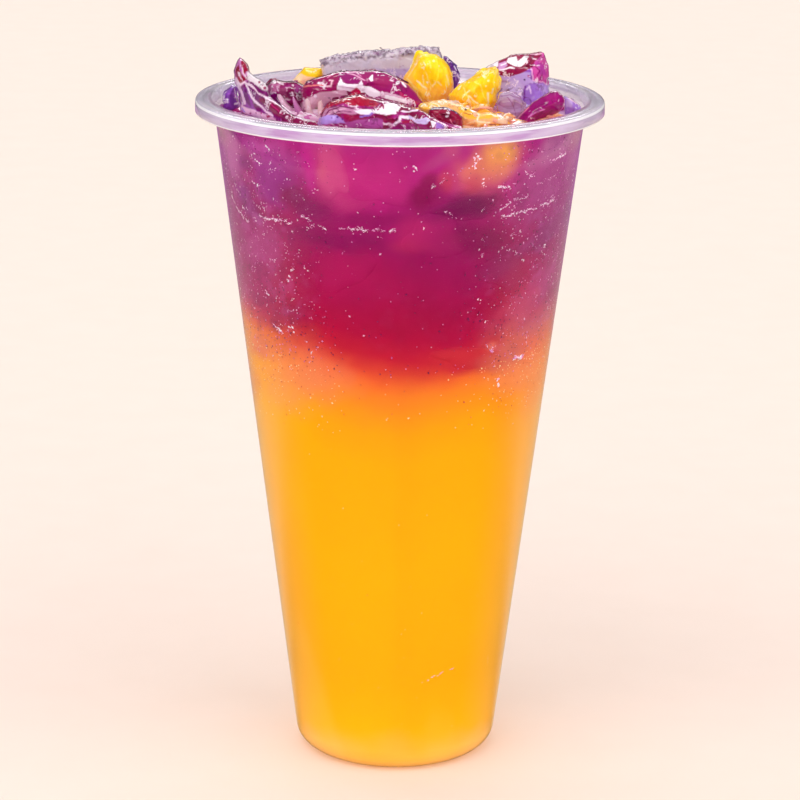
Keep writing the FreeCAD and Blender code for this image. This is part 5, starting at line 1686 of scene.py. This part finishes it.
def sunk_pieces():
    V, F, C = [], [], []
    rings, seg = 12, 40
    for k, (ang, z0, w, h, lean, c, amount) in enumerate(SUNK):
        base = sum(len(v) for v in V)
        rho = np.repeat(np.linspace(0.0, 1.0, rings + 1)[1:], seg)
        phi = np.tile(np.arange(seg) * 2 * math.pi / seg, rings)
        wob = 1.0 + 0.16 * np.sin(3 * phi + 1.3 * k) + 0.08 * np.sin(5 * phi + 2.1 * k)
        u = rho * wob * w * np.cos(phi)
        v = rho * wob * h * np.sin(phi)
        rho = np.concatenate([[0.0], rho])
        u = np.concatenate([[0.0], u])
        v = np.concatenate([[0.0], v])
        t = math.radians(lean)
        uu = u * math.cos(t) - v * math.sin(t)
        vv = u * math.sin(t) + v * math.cos(t)
        z = np.minimum(z0 + vv, LEVEL_Z + 0.4)
        rw = wall_in(z)
        a = math.radians(ang) + uu / rw
        lift = WALL_BITE - 0.10 + 0.30 * np.sqrt(np.maximum(1 - rho ** 2, 0.0))
        r = rw + lift
        pts = np.stack([r * np.sin(a), -r * np.cos(a), z], 1)
        col = drink_colour(pts)
        m = amount * smoothstep(1.0, 0.45, rho + 0.25 * fbm(pts, 4.0, 61 + k, 2))
        col = col * (1 - m[:, None]) + np.array(lin(*c)) * m[:, None]
        # behind: one point, so that the piece is closed
        a0 = math.radians(ang)
        rb = wall_in(z0) - 2.5
        pts = np.concatenate([pts, [[rb * math.sin(a0), -rb * math.cos(a0), min(z0, LEVEL_Z - 3)]]])
        col = np.concatenate([col, col[:1]])
        V.append(pts)
        C.append(col)
        for j in range(seg):
            j2 = (j + 1) % seg
            F.append((base, base + 1 + j2, base + 1 + j))
            for i in range(rings - 1):
                p0, p1 = base + 1 + i * seg, base + 1 + (i + 1) * seg
                F.append((p0 + j, p0 + j2, p1 + j2))
                F.append((p0 + j, p1 + j2, p1 + j))
            e = base + 1 + (rings - 1) * seg
            F.append((e + j, e + j2, base + len(pts) - 1))
    return np.concatenate(V), np.array(F)[:, ::-1], np.concatenate(C)


v, f, c = sunk_pieces()
sunk = make_object("sunk_ice", v, f, drink.data.materials[0])
attribute(sunk, "tint", np.clip(c, 0, 1))
attribute(sunk, "glow", painted_drink_glow(v, np.clip(c, 0, 1)))
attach(sunk, "root")


# painted glints along the edges of ice against the wall: (angle, height) points, width in mm
PAINTED_GLINT_EDGES = [
    ([(-69.7, 139.3), (-70.6, 137.7), (-64.3, 134.8), (-58.0, 133.5)], 0.34),
    ([(-51.3, 135.5), (-43.7, 135.9), (-38.4, 135.5), (-35.9, 135.8)], 0.34),
    ([(-32.5, 137.5), (-28.8, 137.0)], 0.30),
    ([(-29.4, 135.4), (-25.3, 135.7), (-23.6, 135.4)], 0.26),
    ([(-19.1, 135.6), (-14.7, 135.4), (-6.3, 136.1), (-0.9, 135.5)], 0.26),
    ([(-53.9, 130.5), (-50.5, 127.8), (-45.8, 125.3)], 0.26),
    ([(-50.0, 109.8), (-45.2, 109.0)], 0.40),
    ([(23.1, 150.9), (23.3, 149.0)], 0.40),
    ([(24.0, 152.0), (25.7, 151.9)], 0.34),
    ([(9.8, 145.9), (12.6, 146.7)], 0.30),
    ([(31.9, 144.8), (38.6, 144.6)], 0.34),
    ([(42.2, 147.5), (46.6, 146.1)], 0.34),
    ([(47.6, 143.9), (53.0, 144.6), (59.1, 144.7)], 0.30),
    ([(33.4, 139.6), (39.0, 141.0), (44.8, 141.7)], 0.30),
    ([(34.1, 137.7), (37.7, 137.9), (43.4, 137.8), (48.5, 138.2), (56.3, 138.5), (59.8, 139.8)], 0.32),
    ([(14.2, 140.0), (18.3, 138.2)], 0.26),
    ([(53.7, 148.2), (58.0, 149.2), (63.7, 149.3)], 0.40),
    ([(46.9, 102.7), (52.9, 102.7)], 0.62),
    ([(33.3, 107.0), (36.2, 105.8)], 0.50),
]
# clusters of painted glints: (angle, height)
GLINT_SPECKS = [(-44.2, 152.5), (-51.4, 150.1), (-49.2, 148.5), (-43.9, 147.0), (-52.5, 142.8), (-61.2, 136.4),
          (-51.6, 117.2), (-39.3, 122.3), (-40.5, 110.2), (4.4, 150.0), (26.7, 146.6), (40.3, 97.6),
          (48.1, 112.5), (24.0, 152.0), (23.2, 150.0)]
BALL_V = np.array([(1, 0, 0), (-1, 0, 0), (0, 1, 0), (0, -1, 0), (0, 0, 1), (0, 0, -1)], float)
BALL_F = np.array([(0, 2, 4), (2, 1, 4), (1, 3, 4), (3, 0, 4), (2, 0, 5), (1, 2, 5), (3, 1, 5), (0, 3, 5)])


def finer_ball():
    """The eight-sided ball with every side split in four."""
    v = [tuple(p) for p in BALL_V]
    f = []
    cache = {}

    def mid(a, b):
        key = (min(a, b), max(a, b))
        if key not in cache:
            m = (np.array(v[a]) + np.array(v[b]))
            m /= np.linalg.norm(m)
            cache[key] = len(v)
            v.append(tuple(m))
        return cache[key]

    for a, b, c in BALL_F:
        ab, bc, ca = mid(a, b), mid(b, c), mid(c, a)
        f += [(a, ab, ca), (b, bc, ab), (c, ca, bc), (ab, bc, ca)]
    return np.array(v), np.array(f)


FB_V, FB_F = finer_ball()


def wall_beads(items, name, mat, ball):
    """items: (angle, z, size along the wall, size up, lean, colour)."""
    bv, bf = ball
    it = np.array([i[:5] for i in items])
    c = np.array([lin(*i[5]) for i in items])
    k = len(it)
    t = np.radians(it[:, 4])[:, None]
    q0 = bv[None, :, 0] * it[:, 2:3]
    q2 = bv[None, :, 2] * it[:, 3:4]
    q1 = bv[None, :, 1] * np.minimum(np.minimum(it[:, 2:3], it[:, 3:4]), 0.16)
    u = q0 * np.cos(t) - q2 * np.sin(t)
    w = q0 * np.sin(t) + q2 * np.cos(t)
    zz = it[:, 1:2] + w
    r = wall_in(zz) + 0.34 + q1
    a = np.radians(it[:, 0:1]) + u / r
    v = np.stack([r * np.sin(a), -r * np.cos(a), zz], 2).reshape(-1, 3)
    f = (bf[None] + (np.arange(k) * len(bv))[:, None, None]).reshape(-1, 3)
    ob = make_object(name, v, f, mat)
    attribute(ob, "tint", np.repeat(c, len(bv), axis=0))
    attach(ob, "root")
    return ob


def bead_material():
    m = Nodes("beads")
    a = m.attr("tint")
    n = m.noise(3000.0, 2.0, 0.5, m.coords())
    col = m.mix(m.math("MULTIPLY", n, 0.2), a.outputs["Color"], (1.0, 0.9, 1.0), "SOFT_LIGHT")
    p = m.principled(Base_Color=col, Roughness=0.3)
    # painted glow: glints and bubbles give off light in their own colour, so they stay bright
    m.link(a.outputs["Color"], p.inputs["Emission Color"])
    p.inputs["Emission Strength"].default_value = 0.24
    return m.finish(p.outputs[0])


def glint_items():
    """Wet glints strung along the edges of ice, broken and uneven."""
    rng = np.random.RandomState(7)
    items = []
    pale = [(255, 238, 250), (255, 238, 250), (244, 200, 230), (230, 160, 208), (214, 130, 190)]

    def string(pts, w, spread, gap):
        for (a0, z0), (a1, z1) in zip(pts[:-1], pts[1:]):
            length = math.hypot(math.radians(a1 - a0) * 40, z1 - z0)
            n = max(2, int(length / 0.20))
            ang = math.degrees(math.atan2(z1 - z0, math.radians(a1 - a0) * 40))
            ph = rng.uniform(0, 6.28, 3)
            for k in range(n):
                t = (k + rng.uniform(0, 0.9)) / n
                gate = math.sin(t * length * 1.3 + ph[0]) + 0.8 * math.sin(t * length * 3.1 + ph[1])
                if gate < gap:
                    continue
                off = 0.28 * math.sin(t * length * 0.9 + ph[2]) + rng.normal(0, spread)
                s = w * rng.uniform(0.25, 0.62)
                items.append((a0 + (a1 - a0) * t, z0 + (z1 - z0) * t + off,
                              s * rng.uniform(0.9, 2.2), s * rng.uniform(0.35, 0.8), ang + rng.normal(0, 32),
                              pale[rng.randint(5)]))

    for pts, w in PAINTED_GLINT_EDGES:
        string(pts, w * 1.45, 0.15, -0.75)
        string(pts, w * 1.0, 0.45, 0.15)
    for a0, z0 in GLINT_SPECKS:
        for k in range(rng.randint(3, 7)):
            s = rng.uniform(0.12, 0.36)
            items.append((a0 + rng.normal(0, 0.8), z0 + rng.normal(0, 0.55), s * rng.uniform(0.8, 1.9), s,
                          rng.uniform(-60, 60), pale[rng.randint(3)]))
    # small broken lights scattered where ice lies near the wall
    for k in range(290):
        a0, z0 = rng.uniform(26, 78) * rng.choice([-1, 1]), rng.uniform(99, 153.5)
        if k > 170:
            z0 = rng.uniform(124, 153.5)
        if rng.rand() < 0.08:
            a0 = rng.uniform(-26, 26)
        if abs(a0) < 26 and z0 < 130:
            continue
        c = pale[rng.randint(5)]
        for j in range(rng.randint(1, 5)):
            s = rng.uniform(0.07, 0.22)
            items.append((a0 + rng.normal(0, 0.45), z0 + rng.normal(0, 0.28), s * rng.uniform(0.8, 1.8),
                          s * rng.uniform(0.5, 1.0), rng.uniform(-90, 90), c))
    # the sides and back
    for k in range(30):
        a0, z0 = rng.uniform(82, 268), rng.uniform(108, 152)
        span, rise = rng.uniform(5, 16), rng.normal(0, 1.8)
        string([(a0, z0), (a0 + span * 0.5, z0 + rise), (a0 + span, z0 + rise * 0.4)], 0.36, 0.2, -0.1)
    # a few by the foot
    string([(14.0, 24.0), (22.0, 25.2), (32.0, 27.0)], 0.30, 0.1, 0.2)
    return items


def dot_items():
    """Fine bubbles on the wall: pale ones and dark-rimmed ones."""
    rng = np.random.RandomState(8)
    items = []
    while len(items) < 7600:
        ang, z = rng.uniform(-180, 180), rng.uniform(86, 154.4)
        side = abs((abs(ang) + 90) % 180 - 90)          # 0 at front and back, 90 at the sides
        keep = 0.09 + 0.91 * min(1.0, max(0.0, (side - 18) / 28.0))
        if z < 104:
            keep *= 0.25 + 0.75 * (z - 86) / 18.0
        patch = 0.5 + 0.5 * math.sin(ang * 0.21 + z * 0.17) * math.sin(ang * 0.07 - z * 0.31)
        if rng.rand() > keep * (0.45 + 0.55 * patch):
            continue
        s = 0.095 + 0.055 * abs(rng.normal())
        if rng.rand() < 0.46:
            c = [(218, 140, 198), (202, 104, 178), (240, 190, 224)][rng.randint(3)]
        else:
            c = [(96, 8, 76), (118, 18, 92), (128, 24, 84)][rng.randint(3)]
        if z < 100 + 6 * side / 90:
            c = [(255, 222, 160), (206, 96, 50), (255, 232, 180)][rng.randint(3)]
        items.append((ang, z, s * rng.uniform(0.9, 1.6), s, rng.uniform(-90, 90), c))
    for k in range(140):
        ang, z = rng.uniform(-180, 180), rng.uniform(10, 92)
        s = 0.06 + 0.06 * abs(rng.normal())
        c = [(255, 226, 150), (240, 150, 30), (255, 236, 190)][rng.randint(3)]
        items.append((ang, z, s, s, 0.0, c))
    return items


BEADS = bead_material()
wall_beads(glint_items(), "wet_glints", BEADS, (BALL_V, BALL_F))
wall_beads(dot_items(), "bubbles", BEADS, (BALL_V, BALL_F))


# ---------------------------------------------------------------------------
# crushed ice lying in the top of the drink between the big pieces
# ---------------------------------------------------------------------------
HEAPS = [
    # x, y, half widths, height over the level, how many, colours
    (-24.5, -8.0, 6.5, 7.5, 1.6, 40, "pink"),
    (-22.0, -21.0, 6.0, 5.5, 1.4, 40, "pink"),
    (-17.5, -3.0, 4.0, 8.0, 2.0, 24, "pink"),
    (-33.0, -2.0, 4.5, 8.0, 3.0, 30, "violet"),
    (33.5, -13.0, 5.0, 9.0, 3.4, 70, "peach"),
    (16.0, -14.0, 9.5, 8.0, 5.6, 170, "peach"),
    (23.0, -22.0, 8.0, 5.5, 4.0, 90, "peach"),
    (12.5, -21.5, 7.0, 3.4, 5.0, 70, "peach"),
    (21.0, -27.5, 7.0, 2.6, 2.6, 60, "peach"),
    (9.0, -8.5, 6.5, 4.0, 5.6, 60, "peach"),
    (30.5, 0.5, 4.0, 5.0, 4.0, 34, "violet"),
    (-2.0, 11.0, 16.0, 5.0, 3.4, 70, "pink"),
    (20.0, 22.0, 10.0, 8.0, 2.4, 50, "violet"),
    (-12.0, 33.0, 16.0, 5.0, 2.0, 60, "pink"),
]
FLAKES = [
    # x, y, z, length, width, thickness, fall to the right (degrees), turn, colour
    (-26.6, -2.2, 157.0, 6.4, 3.2, 1.0, 46.0, -12.0, (232, 186, 208)),
    (-23.6, -3.2, 156.4, 6.0, 3.0, 1.0, 58.0, -6.0, (206, 128, 184)),
    (-21.0, -4.4, 156.4, 5.6, 3.4, 1.1, 70.0, 0.0, (236, 200, 206)),
    (-18.4, -5.6, 156.2, 5.2, 3.6, 1.2, 84.0, 0.0, (228, 188, 190)),
    (-24.6, -8.0, 155.4, 8.0, 3.0, 1.0, 26.0, -22.0, (246, 220, 236)),
    (-20.4, -9.6, 155.2, 6.4, 3.4, 1.0, 14.0, -16.0, (232, 176, 208)),
    (-27.2, -12.0, 155.3, 6.4, 2.6, 0.9, 20.0, -36.0, (160, 20, 106)),
    (-22.0, -15.6, 155.0, 8.0, 3.0, 0.9, 8.0, -26.0, (238, 202, 226)),
]
CRUMB_COLOURS = {
    "pink": [(244, 200, 228), (234, 170, 212), (226, 146, 196), (248, 222, 240), (206, 104, 172), (176, 30, 116)],
    "violet": [(214, 190, 232), (180, 140, 214), (236, 206, 234), (150, 60, 170), (250, 240, 252), (158, 30, 120)],
    "peach": [(250, 196, 146), (252, 208, 172), (248, 176, 112), (254, 190, 72), (244, 176, 150), (226, 140, 130), (253, 184, 56)],
}


def crumbs():
    rng = np.random.RandomState(21)
    V, F, C = [], [], []
    jobs = []
    for k in range(420):
        r = 41.0 * math.sqrt(rng.rand())
        a = rng.uniform(-math.pi, math.pi)
        x, y = r * math.sin(a), -r * math.cos(a)
        warm = math.hypot(x - 17.0, (y + 16.0) * 0.8) < 13 + rng.normal(0, 2)
        jobs.append((x, y, LEVEL_Z + 0.12, rng.uniform(0.5, 1.5), 0.5, "peach" if warm else "pink"))
    for hx, hy, wx, wy, hh, n, kind in HEAPS:
        for k in range(n):
            rr, a = math.sqrt(rng.rand()), rng.uniform(-math.pi, math.pi)
            x, y = hx + wx * rr * math.cos(a), hy + wy * rr * math.sin(a)
            z = LEVEL_Z + hh * (1 - rr * rr) * rng.uniform(0.0, 0.92)
            jobs.append((x, y, z, rng.uniform(0.7, 1.9), 0.55, kind))
    for x, y, z, s, flat, kind in jobs:
        sx, sy, sz = s * rng.uniform(0.8, 1.5), s * rng.uniform(0.8, 1.5), s * flat * rng.uniform(0.6, 1.2)
        if math.hypot(x, y) + max(sx, sy) * 1.2 > wall_in(z) - 0.6:
            continue
        if -33.0 < x < -16.5 and y < -1.51 * (x + 37.35) + 2.0:
            continue                                # the spike lies here
        if kind == "peach":
            sx *= rng.uniform(1.0, 1.9)
        q = FB_V * [sx, sy, sz] + rng.normal(0, 0.15 * s, FB_V.shape)
        t, u = rng.uniform(0, 6.28), rng.normal(0, 0.4)
        q = q @ np.array([[1, 0, 0], [0, math.cos(u), math.sin(u)], [0, -math.sin(u), math.cos(u)]])
        q = q @ np.array([[math.cos(t), math.sin(t), 0], [-math.sin(t), math.cos(t), 0], [0, 0, 1]])
        F.append(FB_F + len(V) * len(FB_V))
        V.append(q + [x, y, z])
        pal = CRUMB_COLOURS[kind]
        C.append(np.tile(np.array(lin(*pal[rng.randint(len(pal))])), (len(FB_V), 1)))
    for x, y, z, length, w, h, fall, turn, c in FLAKES:
        ball = np.sign(FB_V) * np.abs(FB_V) ** 0.62
        q = ball * [length * 0.5, w * 0.5, h * 0.6] + rng.normal(0, 0.10, FB_V.shape)
        q[:, 2] += 0.05 * q[:, 0] ** 2
        t, u = math.radians(turn), math.radians(fall)
        q = q @ np.array([[math.cos(u), 0, -math.sin(u)], [0, 1, 0], [math.sin(u), 0, math.cos(u)]])
        q = q @ np.array([[math.cos(t), math.sin(t), 0], [-math.sin(t), math.cos(t), 0], [0, 0, 1]])
        F.append(FB_F + len(V) * len(FB_V))
        V.append(q + [x, y, z])
        C.append(np.tile(np.array(lin(*c)), (len(FB_V), 1)))
    return np.concatenate(V), np.concatenate(F), np.concatenate(C)


v, f, c = crumbs()
crumb = make_object("crushed_ice", v, f, CLEAR_WET, smooth=True)
attribute(crumb, "tint", c)
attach(crumb, "root")
